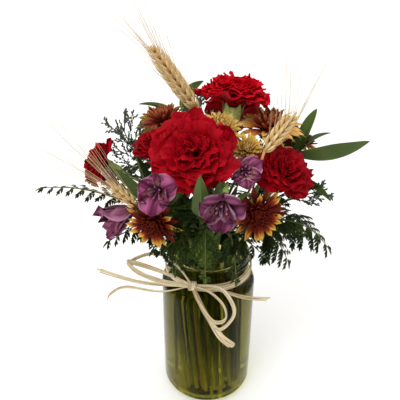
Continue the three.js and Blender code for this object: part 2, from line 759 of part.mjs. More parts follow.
// A thin blade of a rib with one leaflet on each side between two rib points. A leaflet is a
// shoulder and a tip.
function cutBlade(rib, leaflets, thickness = BLADE) {
  const points = [...rib.flat(), ...leaflets.flat(2)];
  const shoulder = (i, s) => rib.length * 2 + 4 * i + 2 * s;
  const tops = [];
  const rim = [];
  leaflets.forEach((_, i) => {
    const [l0, r0, l1, r1] = [2 * i, 2 * i + 1, 2 * i + 2, 2 * i + 3];
    const [a, b] = [shoulder(i, 0), shoulder(i, 0) + 1];
    const [c, d] = [shoulder(i, 1), shoulder(i, 1) + 1];
    tops.push([l0, r0, r1], [l0, r1, l1], [l0, l1, a], [l1, b, a], [r0, c, r1], [r1, c, d]);
    rim.push([l0, a], [a, b], [b, l1], [r1, d], [d, c], [c, r0]);
  });
  const end = rib.length * 2 - 2;
  rim.push([1, 0], [end, end + 1]);
  const up = new THREE.Vector3();
  for (const [a, b, c] of tops)
    up.add(points[b].clone().sub(points[a]).cross(points[c].clone().sub(points[a])));
  up.normalize();
  const count = points.length;
  const both = [-0.5, 0.5].flatMap((half) => points.map((p) => place(p, [up, half * thickness])));
  return solidOf(both, [
    ...tops.map(([a, b, c]) => [a, c, b]),
    ...tops.map(([a, b, c]) => [a + count, b + count, c + count]),
    ...rim.flatMap(([a, b]) => [
      [b, a, b + count],
      [b + count, a, a + count],
    ]),
  ]);
}

// ---- Long leaves and sea lavender ----
function longLeaf(leaf, share = 1, swing = 0) {
  const from = vec(leaf.from);
  const to = mix(from, leaf.to, share).add(new THREE.Vector3(0, 0, swing));
  const along = to.clone().sub(from);
  const length = along.length();
  along.normalize();
  const roll = rad(leaf.roll ?? 0);
  const [side, up] = across(along).map((v) => v.applyAxisAngle(along, roll));
  const at = (s, w) =>
    place(
      from,
      [along, s * length],
      [side, w * leaf.width],
      [up, leaf.rise * 4 * s * (1 - s) + Math.abs(w) * leaf.width * 0.3],
    );
  return blade([
    [at(-0.02, -0.08), at(-0.02, 0.08)],
    [at(0.34, -0.5), at(0.34, 0), at(0.34, 0.5)],
    [at(0.7, -0.4), at(0.7, 0), at(0.7, 0.4)],
    [at(1, 0)],
  ]);
}

function lavenderTwigs(spray, seed) {
  const draw = chance(seed);
  const from = vec(spray.from);
  const axis = vec(spray.to).sub(from);
  const length = axis.length();
  axis.normalize();
  const [u, v] = across(axis);
  const parts = [];
  for (let k = 0; k < spray.twigs; k++) {
    const share = 0.12 + (0.8 * k) / spray.twigs;
    const turn = rad(137.5 * k);
    const out = place([0, 0, 0], [u, Math.cos(turn)], [v, Math.sin(turn)]);
    const base = place(from, [axis, share * length]);
    const reach = length * (0.56 - 0.3 * share) * (0.8 + 0.4 * draw());
    const end = place(base, [axis, reach * 0.8], [out, reach * 0.6]);
    const [a, b] = across(end.clone().sub(base).normalize());
    const twig = (portion) => {
      const bulges = [[0.46, 0.5], [0.56, 1.6], [0.66, 0.5], [0.88, 1.7]];
      const rings = bulges.map(([at, size]) => ring(mix(base, end, at * portion), a, b, size, size, 3));
      return loft([[base], ...rings, [mix(base, end, portion)]]);
    };
    parts.push(tries([1, 0.7, 0.45], [0], twig));
  }
  return parts;
}

// ---- Raffia: two turns round the neck, a knot, and a bow of flat strips ----
const BAND = { low: 149.5, widest: 157, high: 159, out: 2.2 };
const KNOT = new THREE.Vector3(-16, -43.2, 158.5);
const RAFFIA_STRIPS = [
  {
    via: [[-36, -50, 176], [-58, -47, 184], [-74, -45, 187], [-66, -48, 178], [-42, -52, 170]],
    width: 5,
  },
  {
    via: [[-28, -47, 182], [-44, -42, 193], [-60, -42, 193], [-73, -46, 185], [-46, -53, 172]],
    width: 3,
  },
  {
    via: [[2, -53, 166], [14, -60, 165], [23, -62, 147], [19, -61, 130], [8, -60, 120], [-6, -57, 140]],
    width: 4,
  },
  { via: [[0, -54, 160], [13, -61, 150], [15, -62, 134], [4, -60, 130], [-8, -56, 146]], width: 3 },
  { via: [[-40, -52, 166], [-66, -52, 170], [-86, -51, 176], [-103, -50, 182]], width: 3.6, tail: true },
  { via: [[-44, -54, 160], [-76, -55, 166], [-90, -56, 160], [-95, -56, 153]], width: 2.6, tail: true },
  { via: [[10, -54, 162], [32, -60, 159], [56, -61, 158]], width: 3, tail: true },
  { via: [[-9, -52, 146], [2, -58, 126], [12, -60, 110], [25, -60, 97]], width: 6, tail: true },
];

function strip({ via, width, tail }) {
  const points = [KNOT, ...via.map(vec), ...(tail ? [] : [KNOT])];
  const curve = new THREE.CatmullRomCurve3(points);
  const steps = tail ? 4 : 9;
  const rings = curve.getSpacedPoints(steps).map((p, i) => {
    const along = curve.getTangentAt(i / steps);
    const outward = new THREE.Vector3(0, -1, 0);
    const side = new THREE.Vector3().crossVectors(along, outward).normalize();
    const face = new THREE.Vector3().crossVectors(side, along).normalize();
    const wide = (width / 2) * (tail && i === steps ? 0.5 : 1);
    return [[-wide, -0.5], [wide, -0.5], [wide, 0.5], [-wide, 0.5]].map(([a, b]) =>
      place(p, [side, a], [face, b]),
    );
  });
  return loft(rings);
}

function raffia() {
  const inside = NECK_RADIUS + GAP + 0.2;
  const band = [
    [inside, BAND.low],
    [inside + BAND.out, BAND.widest],
    [inside, BAND.high],
    [inside, BAND.low],
  ].map(([r, z]) => new THREE.Vector2(r, z));
  const knot = loft([
    ring(place(KNOT, [new THREE.Vector3(-1, 0, 0), 5]), new THREE.Vector3(0, 1, 0), new THREE.Vector3(0, 0, 1), 2, 3, 6),
    ring(KNOT, new THREE.Vector3(0, 1, 0), new THREE.Vector3(0, 0, 1), 3, 4.6, 6),
    ring(place(KNOT, [new THREE.Vector3(1, 0, 0), 5]), new THREE.Vector3(0, 1, 0), new THREE.Vector3(0, 0, 1), 2, 3, 6),
  ]);
  const strips = RAFFIA_STRIPS.map(strip);
  finish("raffia_bow", [turned(band), knot, ...strips], "raffia");
}

// ---- Putting the bouquet together: jar, stems, blooms, foliage, water, in that order ----
jar();
raffia();

for (const [name, flower] of Object.entries(CARNATIONS)) {
  const at = throat(flower, CARNATION_THROAT + 0.62);
  const cap = calyxOf(flower.radius);
  addStem(`carnation_${name}_stem`, 1.9, [{ at, along: flower.faces, cap }]);
}

// Where each spray parts into its flower stalks.
const SPRAY_FORKS = {
  left: [-22, 0, 250],
  right: [44, -16, 252],
  back: [10, 40, 234],
};
for (const spray of new Set(Object.values(CHRYSANTHEMUMS).map((c) => c.spray))) {
  const blooms = Object.values(CHRYSANTHEMUMS).filter((c) => c.spray === spray);
  const ends = blooms.map((c) => ({
    at: throat(c, CHRYSANTHEMUM_THROAT + 0.2),
    along: c.faces,
    cap: cupOf(c.radius),
  }));
  addStem(`chrysanthemum_${spray}_stem`, 2, ends, { fork: SPRAY_FORKS[spray] });
}

const ALSTROEMERIA_STEMS = {
  left: {
    fork: [-40, -44, 236],
    leaves: [
      { from: [-41, -47, 243], to: [-84, -50, 284], width: 22, rise: -4, roll: 30 },
      { from: [-40, -44, 240], to: [-84, -20, 246], width: 12, rise: 6 },
    ],
  },
  right: {
    fork: [6, -52, 236],
    leaves: [
      { from: [-2, -58, 246], to: [-9, -110, 304], width: 15, rise: -16 },
      { from: [8, -56, 246], to: [-8, -104, 264], width: 13, rise: 4 },
      { from: [8, -54, 244], to: [6, -92, 294], width: 13, rise: -6 },
    ],
  },
};
for (const [name, { fork, leaves }] of Object.entries(ALSTROEMERIA_STEMS)) {
  const blooms = Object.values(ALSTROEMERIAS).filter((a) => a.stem === name);
  const ends = blooms.map((a) => ({
    at: place(throat(a, ALSTROEMERIA_THROAT), [unit(a.faces), -7]),
    along: a.faces,
    cap: ovaryOf(),
  }));
  addStem(`alstroemeria_${name}_stem`, 2.1, ends, { fork, leaves });
}

for (const [name, ear] of Object.entries(WHEAT)) {
  const along = vec(ear.from).sub(vec(ear.stalk));
  const beyond = [[mix(ear.from, ear.to, 0.3), 2.4], [mix(ear.from, ear.to, 0.92), 1]];
  const end = { at: ear.from, along, beyond };
  const options = { colour: "straw", aim: vec(ear.stalk), ear };
  addStem(`wheat_${name}`, 1.4, [end], options);
}
for (const [name, { stalk, leaves }] of Object.entries(LEAFY_STALKS)) {
  const [low, mid, high] = stalk.map(vec);
  const beyond = [[mid, 1.2], [high, 0.8]];
  const end = { at: low, along: mid.clone().sub(low), beyond };
  addStem(`foliage_${name}`, 1.7, [end], { colour: "leaf", leaves });
}
for (const [name, frond] of Object.entries(FRONDS)) {
  const along = frondCurve(frond).getTangent(0);
  addStem(`fern_${name}`, 1.3, [{ at: frond.leaves, along }], { colour: "fern", frond });
}
for (const [name, spray] of Object.entries(SEA_LAVENDER)) {
  const along = vec(spray.to).sub(vec(spray.from));
  const end = { at: spray.from, along, beyond: [[spray.to, 0.6]] };
  addStem(`sea_lavender_${name}`, 1.2, [end], { colour: "lavender", spray });
}

// Stems come first, each bent aside as far as it takes to pass the ones before it.
spreadStems();
const SWINGS = [0, 5, -5, 9, -9, 14, -14, 20, -20];
const swings = SWINGS.flatMap((a) => SWINGS.map((b) => [a, b]));
swings.sort((a, b) => Math.hypot(...a) - Math.hypot(...b));
const stand = (stem, solid) => {
  stem.solid = solid;
  finished.set(stem.name, { solid, box: solid.boundingBox() });
};
for (const stem of stems) {
  const make = (swing) => wasm.Manifold.union(stemParts(stem, swing));
  const solid = firstClear(swings.map((swing) => () => make(swing)));
  if (!solid) console.warn(`${stem.name} crosses another stem`);
  stand(stem, solid ?? make([0, 0]));
}
const sides = [0, 6, -6, 12, -12];
const grow = (stem, make) => {
  finished.delete(stem.name);
  const more = make();
  if (more.includes(null)) console.warn(`${stem.name} lost ${more.filter((p) => !p).length}`);
  stand(stem, wasm.Manifold.union([stem.solid, ...more.filter(Boolean)]));
};
for (const stem of stems.filter((s) => s.ear)) grow(stem, () => wheatEar(stem.ear));
Object.entries(CARNATIONS).forEach(([name, flower], i) => carnationBloom(name, flower, 11 + i));
Object.entries(ALSTROEMERIAS).forEach(([name, flower]) => alstroemeriaBloom(name, flower));
const leafOf = (leaf) => tries([1, 0.85, 0.7], sides, (share, swing) => longLeaf(leaf, share, swing));
for (const stem of stems.filter((s) => s.leaves)) grow(stem, () => stem.leaves.map(leafOf));
Object.entries(CHRYSANTHEMUMS).forEach(([name, flower], i) =>
  chrysanthemumBloom(name, flower, 31 + i),
);

// Leaves, fronds and twigs fill in between the flowers.
const FROND_MOVES = [0, 5, -5, 10, -10].flatMap((lift) => [0, 7, -7, 14, -14].map((t) => [lift, t]));
stems.forEach((stem, i) => {
  finished.delete(stem.name);
  const parts = [stem.solid];
  if (stem.frond)
    parts.push(
      tries([1, 0.85, 0.7, 0.55, 0.4], FROND_MOVES, (shrink, move) =>
        frondBlade(stem.frond, shrink, move),
      ),
    );
  if (stem.spray) parts.push(...lavenderTwigs(stem.spray, 71 + i));
  if (parts.includes(null)) console.warn(`${stem.name} lost ${parts.filter((p) => !p).length}`);
  finish(stem.name, parts, stem.colour);
});

// The water fills the jar to its shoulder, with a plain hole round each stem.
function water() {
  const profile = [
    [0, BASE_THICKNESS + GAP],
    [INNER_RADIUS - 7 - GAP, BASE_THICKNESS + GAP],
    [INNER_RADIUS - GAP, 17 + GAP],
    [INNER_RADIUS - GAP, 133],
    [INNER_RADIUS - GAP - 3, WATER_LEVEL],
    [0, WATER_LEVEL],
  ].map(([r, z]) => new THREE.Vector2(r, z));
  const holes = stems.map((stem) => footLength(stem, GAP));
  finish("water", [turned(profile).subtract(wasm.Manifold.union(holes))], "water");
}
water();

export default bouquet;
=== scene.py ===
"""Spray chrysanthemums, carnations, alstroemeria, wheat and cut greens standing in water in a
green glass canning jar with a raffia bow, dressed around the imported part.
Metres, +Z up, the jar's flat base on z = 0 at the origin. The front faces -Y."""

import math
import random

import bpy
import numpy as np
from mathutils import Matrix, Vector


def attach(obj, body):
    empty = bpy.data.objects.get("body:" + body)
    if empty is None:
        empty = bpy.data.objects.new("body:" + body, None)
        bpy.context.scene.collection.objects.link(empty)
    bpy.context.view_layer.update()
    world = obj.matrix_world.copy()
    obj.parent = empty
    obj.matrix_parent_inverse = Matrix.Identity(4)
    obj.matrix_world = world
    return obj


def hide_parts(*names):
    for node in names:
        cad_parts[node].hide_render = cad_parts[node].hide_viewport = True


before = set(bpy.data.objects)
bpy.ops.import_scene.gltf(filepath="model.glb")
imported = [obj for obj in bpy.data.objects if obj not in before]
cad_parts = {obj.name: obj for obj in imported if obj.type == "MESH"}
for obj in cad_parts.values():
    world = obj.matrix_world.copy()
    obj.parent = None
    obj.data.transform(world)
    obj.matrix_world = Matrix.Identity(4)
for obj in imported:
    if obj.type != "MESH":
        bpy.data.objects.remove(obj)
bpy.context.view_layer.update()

# ---- Camera and studio ----
# The bouquet is seen from close by and from a little above its rim. It stands on a pale sweep
# under one broad soft lamp, with a weaker one on the other side.
CAMERA_AT = Vector((-0.009, -0.440, 0.472))
CAMERA_DIP = math.radians(29.1)
CAMERA_ROLL = math.radians(0.4)
PHOTO_WIDTH = 400
FOCAL_LENGTH = 528  # in pixels of the photograph
LAMPS_AIM_AT = Vector((0, 0, 0.24))
FLOOR_HALF = 4.0
FLOOR_LEVEL = -0.0002


def placed(name, data):
    """A new object of the scene that shows a mesh, a lamp or a camera."""
    made = bpy.data.objects.new(name, data)
    bpy.context.scene.collection.objects.link(made)
    return made


camera_data = bpy.data.cameras.new("photo_camera")
camera_data.lens = camera_data.sensor_width * FOCAL_LENGTH / PHOTO_WIDTH
camera_data.clip_start = 0.01
camera = placed("photo_camera", camera_data)
tilt_down = Matrix.Rotation(math.pi / 2 - CAMERA_DIP, 4, "X")
slight_roll = Matrix.Rotation(CAMERA_ROLL, 4, "Z")
camera.matrix_world = Matrix.Translation(CAMERA_AT) @ tilt_down @ slight_roll
bpy.context.scene.camera = camera
bpy.context.scene.view_settings.view_transform = "Standard"


def soft_lamp(name, at, size, power):
    lamp = bpy.data.lights.new(name, "AREA")
    lamp.shape = "DISK"
    lamp.size = size
    lamp.energy = power
    holder = placed(name, lamp)
    holder.rotation_euler = (LAMPS_AIM_AT - Vector(at)).to_track_quat("-Z", "Y").to_euler()
    holder.location = at


soft_lamp("ceiling_panel", (0, 1.0, 4.0), 9.0, 118)
soft_lamp("lamp_above", (-0.45, -0.75, 1.3), 0.6, 9)

world = bpy.data.worlds.new("studio_air")
bpy.context.scene.world = world
world.use_nodes = True
air = world.node_tree.nodes["Background"]
air.inputs["Color"].default_value = (1.0, 0.99, 0.98, 1)
air.inputs["Strength"].default_value = 0.84


class Nodes:
    """A tree of nodes. An input is given as (socket, value or another node's output)."""

    def __init__(self, tree):
        self.tree = tree

    def add(self, kind, inputs=(), **settings):
        made = self.tree.nodes.new(kind)
        for name, value in settings.items():
            setattr(made, name, value)
        for socket, value in inputs:
            if isinstance(value, bpy.types.NodeSocket):
                self.tree.links.new(value, made.inputs[socket])
            else:
                made.inputs[socket].default_value = value
        return made

    def math(self, operation, a, b=0.0):
        return self.add("ShaderNodeMath", [(0, a), (1, b)], operation=operation).outputs[0]

    def span(self, value, low, high, to_low=0.0, to_high=1.0):
        """A value brought from one span to another, smoothly at both ends."""
        inputs = [("Value", value), ("From Min", low), ("From Max", high)]
        inputs += [("To Min", to_low), ("To Max", to_high)]
        return self.add("ShaderNodeMapRange", inputs, interpolation_type="SMOOTHSTEP").outputs[0]

    def noise(self, vector, scale, detail=2.0):
        inputs = [("Vector", vector), ("Scale", scale), ("Detail", detail)]
        return self.add("ShaderNodeTexNoise", inputs).outputs["Fac"]


class Finish(Nodes):
    """A material and its Principled shader. Plain values are given by their socket's name."""

    def __init__(self, name, colour=(0.8, 0.8, 0.8), **plain):
        self.material = bpy.data.materials.new(name)
        self.material.use_nodes = True
        super().__init__(self.material.node_tree)
        self.shader = self.tree.nodes["Principled BSDF"]
        self.shader.inputs["Base Color"].default_value = (*colour, 1)
        for socket, value in plain.items():
            self.shader.inputs[socket.replace("_", " ")].default_value = value

    def place(self):
        return self.add("ShaderNodeTexCoord").outputs["Object"]

    def patches(self, scale, detail=2.0):
        """Soft patches that are fixed to the object."""
        return self.noise(self.place(), scale, detail)

    def height(self):
        """How high a point lies above the base, in metres."""
        return self.add("ShaderNodeSeparateXYZ", [(0, self.place())]).outputs["Z"]

    def mix(self, share, first, second):
        """One colour laid over another by a share from 0 to 1."""
        full = [(*c, 1) if isinstance(c, tuple) else c for c in (first, second)]
        inputs = [(0, share), (6, full[0]), (7, full[1])]
        return self.add("ShaderNodeMix", inputs, data_type="RGBA").outputs[2]

    def colour(self, made):
        self.tree.links.new(made, self.shader.inputs["Base Color"])

    def bump(self, height, distance, strength):
        inputs = [("Height", height), ("Distance", distance), ("Strength", strength)]
        raised = self.add("ShaderNodeBump", inputs)
        self.tree.links.new(raised.outputs["Normal"], self.shader.inputs["Normal"])


paper = Finish("paper", (0.93, 0.93, 0.92), Roughness=0.9)
paper.colour(paper.mix(paper.patches(60.0), (0.92, 0.92, 0.91), (0.95, 0.95, 0.94)))
floor_mesh = bpy.data.meshes.new("floor")
corners = [
    (x * FLOOR_HALF, y * FLOOR_HALF, FLOOR_LEVEL)
    for x, y in ((-1, -1), (1, -1), (1, 1), (-1, 1))
]
floor_mesh.from_pydata(corners, [], [(0, 1, 2, 3)])
floor_mesh.materials.append(paper.material)
floor = placed("floor", floor_mesh)

# ---- Jar ----
# A pressed canning jar in olive-green glass with a rounded heel, round shoulders and a wide
# mouth, whose raised thread once took a screwed band. It is turned from one closed profile.
JAR_HEIGHT = 0.172
JAR_RADIUS = 0.0475
NECK_RADIUS = 0.0413
HEEL_RADIUS = 0.0105
SHOULDER_RADIUS = 0.0070
SHOULDER_HEIGHT = 0.136
INNER_RADIUS = 0.0435
INNER_HEEL = 0.009
INNER_NECK = 0.0367
FLOOR_THICKNESS = 0.0065
THREAD_RISE = 0.0012
THREAD_ROOT = NECK_RADIUS - 0.0007  # only the outside of the mouth reaches past this
THREAD_FROM, THREAD_TO = 0.1595, 0.1705
THREAD_START = 0.1622
THREAD_PITCH = 0.0038
THREAD_HALF_WIDTH = 0.0009
THREAD_TURN = 9.6  # how far the thread winds, in radians
THREAD_FADE = 0.5  # and over how much of that it fades in and out
TURNED_SIDES = 128
GLASS_TINT = (0.47, 0.45, 0.16)
GLASS_SHADOW = (0.86, 0.84, 0.52)
GLASS_MIRRORED = (0.06, 0.06, 0.04)
GLASS_BENDING = 1.22  # less than real glass, so that its sides mirror less of the pale room


def arc(r, z, radius, start, end, steps):
    turns = [math.radians(start + (end - start) * i / steps) for i in range(steps + 1)]
    return [(r + radius * math.cos(t), z + radius * math.sin(t)) for t in turns]


def turned(name, profile, finish, swell=None):
    """A closed solid turned from (radius, height) pairs that start and end on the axis.
    swell(radius, height, turn) moves a point in or out."""
    n = TURNED_SIDES
    points = [(0, 0, profile[0][1])]
    for r, z in profile[1:-1]:
        for turn in (2 * math.pi * i / n for i in range(n)):
            out = r + (swell(r, z, turn) if swell else 0)
            points.append((out * math.cos(turn), out * math.sin(turn), z))
    points.append((0, 0, profile[-1][1]))
    top = len(points) - 1 - n
    faces = []
    for i in range(n):
        j = (i + 1) % n
        faces.append((0, 1 + j, 1 + i))
        faces += [(low + i, low + j, low + n + j, low + n + i) for low in range(1, top, n)]
        faces.append((top + i, top + j, len(points) - 1))
    mesh = bpy.data.meshes.new(name)
    mesh.from_pydata(points, [], faces)
    mesh.shade_smooth()
    mesh.materials.append(finish.material)
    return placed(name, mesh)


def dress(piece, node_name):
    """Says that a piece rides on the object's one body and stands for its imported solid."""
    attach(piece, "root")
    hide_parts(node_name)


def thread(r, z, turn):
    """A raised thread that winds once and a half round the outside of the mouth."""
    if r < THREAD_ROOT or not THREAD_FROM <= z <= THREAD_TO:
        return 0
    rise = 0
    for wound in (turn, turn + 2 * math.pi):
        fade = min(1, wound / THREAD_FADE, max(0, THREAD_TURN - wound) / THREAD_FADE)
        centre = THREAD_START + THREAD_PITCH * wound / (2 * math.pi)
        rise = max(rise, fade * math.exp(-(((z - centre) / THREAD_HALF_WIDTH) ** 2)))
    return THREAD_RISE * rise


def clear_finish(name, tint, ior, shadow_tint, mirrored):
    """Something that is seen through. Its shadow stays light, as light passes through it."""
    clear = Finish(
        name, tint, Roughness=0.0, IOR=ior, Transmission_Weight=1.0, Specular_Tint=(*mirrored, 1)
    )
    lit = clear.add("ShaderNodeBsdfTransparent", [("Color", (*shadow_tint, 1))])
    shadow = clear.add("ShaderNodeLightPath").outputs["Is Shadow Ray"]
    inputs = [(0, shadow), (1, clear.shader.outputs[0]), (2, lit.outputs[0])]
    both = clear.add("ShaderNodeMixShader", inputs)
    clear.tree.links.new(both.outputs[0], clear.tree.nodes["Material Output"].inputs["Surface"])
    return clear


glass = clear_finish("olive_glass", GLASS_TINT, GLASS_BENDING, GLASS_SHADOW, GLASS_MIRRORED)
glass.bump(glass.patches(22.0, 1.0), 0.0010, 0.5)

jar_outside = [
    (0, 0),
    *arc(JAR_RADIUS - HEEL_RADIUS, HEEL_RADIUS, HEEL_RADIUS, -90, 0, 10),
    (JAR_RADIUS + 0.0002, 0.040),
    (JAR_RADIUS + 0.0003, 0.075),
    (JAR_RADIUS + 0.0002, 0.110),
    *arc(JAR_RADIUS - SHOULDER_RADIUS, SHOULDER_HEIGHT, SHOULDER_RADIUS, 0, 62, 8),
    (0.0420, 0.1450),
    (0.0414, 0.1475),
    (NECK_RADIUS, 0.1500),
    *[(NECK_RADIUS - 0.0001, 0.1520 + 0.0004 * i) for i in range(46)],
]
jar_rim = [
    (0.0408, 0.1710),
    (0.0402, 0.1718),
    (0.0390, JAR_HEIGHT),
    (0.0376, 0.1718),
    (0.0368, 0.1708),
]
jar_inside = [
    (INNER_NECK, 0.160),
    (INNER_NECK, 0.149),
    (0.0374, 0.1455),
    (0.0395, 0.1415),
    (0.0418, 0.1380),
    (0.0432, 0.1335),
    (INNER_RADIUS, 0.128),
    (INNER_RADIUS, 0.075),
    *reversed(arc(INNER_RADIUS - INNER_HEEL, FLOOR_THICKNESS + INNER_HEEL, INNER_HEEL, -90, 0, 8)),
    (0, FLOOR_THICKNESS + 0.0006),
]
jar = turned("glass_jar", [*jar_outside, *jar_rim, *jar_inside], glass, thread)
dress(jar, "jar")

# ---- Water ----
# Clear water up to the shoulder, a little green from the cut stems and darker towards the
# shoulder, which is painted shade from the flowers and leaves above. It reaches just into the
# glass all round, so that no film of air shows between them, and climbs a little at the wall.
WATER_LEVEL = 0.139
WATER_OVERLAP = 0.0002
WATER_BENDING = 1.30

stem_water = clear_finish(
    "stem_water", (0.80, 0.83, 0.56), WATER_BENDING, (0.93, 0.95, 0.82), (0.05, 0.05, 0.04)
)
low_patches = stem_water.span(stem_water.patches(60.0, 1.0), 0.42, 0.60)
low_water = stem_water.mix(low_patches, (0.84, 0.82, 0.48), (1.0, 1.0, 0.66))
# The water's colour darkens from low in the jar to the shoulder: painted shade.
painted_shade_upwards = stem_water.span(stem_water.height(), 0.020, 0.095)
stem_water.colour(stem_water.mix(painted_shade_upwards, low_water, (0.52, 0.50, 0.26)))
water_profile = [
    (0, FLOOR_THICKNESS + 0.0004),
    *[
        (r + WATER_OVERLAP, z - WATER_OVERLAP * (z < 0.010))
        for r, z in reversed(jar_inside[:-1])
        if z < WATER_LEVEL
    ],
    (0.0412, WATER_LEVEL + 0.0009),
    (0.0404, WATER_LEVEL + 0.0002),
    (0.0390, WATER_LEVEL),
    (0.0200, WATER_LEVEL),
    (0, WATER_LEVEL),
]
water = turned("water_fill", water_profile, stem_water)
dress(water, "water")

# ---- Raffia bow ----
# Flat strips of dried palm leaf, wound twice round the neck, knotted at the front and drawn
# into a bow with loose ends. Each strip is a thin creased ribbon with fine grain along it.
MM = 0.001


def mm(sizes):
    """Millimetres brought to the scene's metres."""
    return np.array(sizes) * MM


KNOT = mm([-16, -43.6, 158.5])
# A strip's width, whether it is a loose tail, how far its strands fan out, and where it passes.
BOW_STRIPS = [
    (
        5, False, 0,
        [(-36, -50, 176), (-58, -47, 184), (-74, -45, 187), (-66, -48, 178), (-42, -52, 170)],
    ),
    (
        3, False, 0,
        [(-28, -47, 182), (-44, -42, 193), (-60, -42, 193), (-73, -46, 185), (-46, -53, 172)],
    ),
    (
        4, False, 0,
        [(2, -53, 166), (14, -60, 165), (23, -62, 147), (19, -61, 130), (8, -60, 120), (-6, -57, 140)],
    ),
    (3, False, 0, [(0, -54, 160), (13, -61, 150), (15, -62, 134), (4, -60, 130), (-8, -56, 146)]),
    (3.6, True, 0, [(-40, -52, 166), (-66, -52, 170), (-86, -51, 176), (-103, -50, 182)]),
    (2.6, True, 0, [(-44, -54, 160), (-76, -55, 166), (-90, -56, 160), (-95, -56, 153)]),
    (3, True, 0, [(10, -54, 162), (32, -60, 159), (56, -61, 158)]),
    (6.5, True, 2.1, [(-9, -52, 146), (2, -58, 126), (12, -60, 110), (25, -60, 97)]),
]
# A strip is torn into strands: their share of its width, their drift aside, the way they fan.
STRANDS = [(0.66, 0.0, 0), (0.42, 1.4, 1), (0.34, -1.5, -1)]
STRIP_THICKNESS = 0.35 * MM
STRIP_ACROSS = np.array([-1, -0.55, 0, 0.5, 1])
STRIP_CREASE = np.array([0.10, -0.12, 0.16, -0.10, 0.08])
TAPER_FROM, TAPER_TO = 0.86, 0.85  # where a loose strip starts to taper, and its width at the end
SHARP_EDGE = math.radians(48)
BAND_RADIUS = 42.2 * MM
BAND_HEIGHTS = [151.8, 153.6, 155.4, 156.8, 152.6, 154.8, 157.8]
BAND_WIDTHS = [2.2, 2.8, 2.4, 2.0, 1.6, 1.8, 1.5]
KNOT_STRIPS = [(-0.9, 4.2), (0.6, 4.6), (2.0, 3.6)]  # how far aside each lies, and its width


class Sheaf:
    """Thin sheets and round rods gathered into one mesh. Each of its points knows how far along
    and across its own sheet it lies, and a chance number that its sheet was given."""

    def __init__(self, seed):
        self.points = []
        self.marks = []
        self.faces = []
        self.finishes = []
        self.count = 0
        self.dice = random.Random(seed)
        self.draw = self.dice.uniform

    def phase(self):
        """A chance place on a wave."""
        return self.draw(0, 6.28)

    def keep(self, points, marks, faces, finishes):
        """Adds a part whose faces count its own points from 0."""
        self.points.append(points)
        self.marks.append(marks)
        self.faces.extend(tuple(self.count + i for i in face) for face in faces)
        self.finishes.extend(finishes)
        self.count += len(points)

    def sheet(self, grid, thickness, finish=0, under=None, chance=None):
        """A grid of points made into a thin plate with an upper and an under side."""
        rows, columns, _ = grid.shape
        normal = np.cross(np.gradient(grid, axis=0), np.gradient(grid, axis=1))
        size = np.linalg.norm(normal, axis=2, keepdims=True)
        normal = normal / np.maximum(size, 1e-12)
        for i, j in zip(*np.nonzero(size[..., 0] < 1e-12)):
            normal[i, j] = normal[i - 1 if i else 1, j]
        half = normal * thickness / 2
        points = np.concatenate([(grid + half).reshape(-1, 3), (grid - half).reshape(-1, 3)])
        shares = np.linspace(0, 1, rows), np.linspace(0, 1, columns)
        along, across = np.meshgrid(*shares, indexing="ij")
        number = self.dice.random() if chance is None else chance
        n = rows * columns
        mark = np.stack([along.ravel(), across.ravel(), np.full(n, number)], axis=1)
        cells = [i * columns + j for i in range(rows - 1) for j in range(columns - 1)]
        faces = [(a, a + columns, a + columns + 1, a + 1) for a in cells]
        backs = [(n + a, n + a + 1, n + a + columns + 1, n + a + columns) for a in cells]
        edge = list(range(columns))
        edge += [i * columns + columns - 1 for i in range(1, rows)]
        edge += [(rows - 1) * columns + j for j in range(columns - 2, -1, -1)]
        edge += [i * columns for i in range(rows - 2, 0, -1)]
        rim = [(a, b, n + b, n + a) for a, b in zip(edge, edge[1:] + edge[:1])]
        under = finish if under is None else under
        finishes = [finish] * len(faces) + [under] * len(backs) + [finish] * len(rim)
        self.keep(points, np.concatenate([mark, mark]), faces + backs + rim, finishes)

    def rod(self, path, radii, sides=8, finish=0, along=None):
        """A round rod through the points of a path, with closed ends."""
        path = np.asarray(path, float)
        count = len(path)
        ahead = np.gradient(path, axis=0)
        ahead /= np.maximum(np.linalg.norm(ahead, axis=1, keepdims=True), 1e-12)
        hint = np.array([1.0, 0, 0]) if abs(ahead[0][0]) < 0.8 else np.array([0, 1.0, 0])
        turn = np.arange(sides) * 2 * math.pi / sides
        points = []
        for p, t, r in zip(path, ahead, np.broadcast_to(radii, (count,))):
            hint = hint - t * hint.dot(t)
            hint /= np.linalg.norm(hint)
            other = np.cross(t, hint)
            points.append(p + r * (np.outer(np.cos(turn), hint) + np.outer(np.sin(turn), other)))
        along = np.linspace(0, 1, count) if along is None else along
        number = self.dice.random()
        marks = [(a, k / sides, number) for a in along for k in range(sides)]
        pairs = [(k, (k + 1) % sides) for k in range(sides)]
        starts = range(0, (count - 1) * sides, sides)
        faces = [(i + a, i + b, i + sides + b, i + sides + a) for i in starts for a, b in pairs]
        faces.append(tuple(reversed(range(sides))))
        faces.append(tuple((count - 1) * sides + k for k in range(sides)))
        self.keep(np.concatenate(points), np.array(marks), faces, [finish] * len(faces))

    def piece(self, name, finishes):
        """The gathered mesh as one object."""
        mesh = bpy.data.meshes.new(name)
        mesh.from_pydata(np.concatenate(self.points).tolist(), [], self.faces)
        for finish in finishes:
            mesh.materials.append(finish.material)
        mesh.polygons.foreach_set("material_index", self.finishes)
        marks = np.concatenate(self.marks)
        for k, name_of in enumerate(("along", "across", "chance")):
            attribute = mesh.attributes.new(name_of, "FLOAT", "POINT")
            attribute.data.foreach_set("value", marks[:, k].copy())
        mesh.shade_smooth()
        mesh.set_sharp_from_angle(angle=SHARP_EDGE)
        return placed(name, mesh)


def unit(v):
    v = np.asarray(v, float)
    return v / np.linalg.norm(v)


def about(axis):
    """Two directions square to an axis, the first of them level."""
    side = np.cross([0.0, 0, 1], axis)
    if np.linalg.norm(side) < 1e-2:
        side = np.cross([1.0, 0, 0], axis)
    side = unit(side)
    return side, unit(np.cross(axis, side))


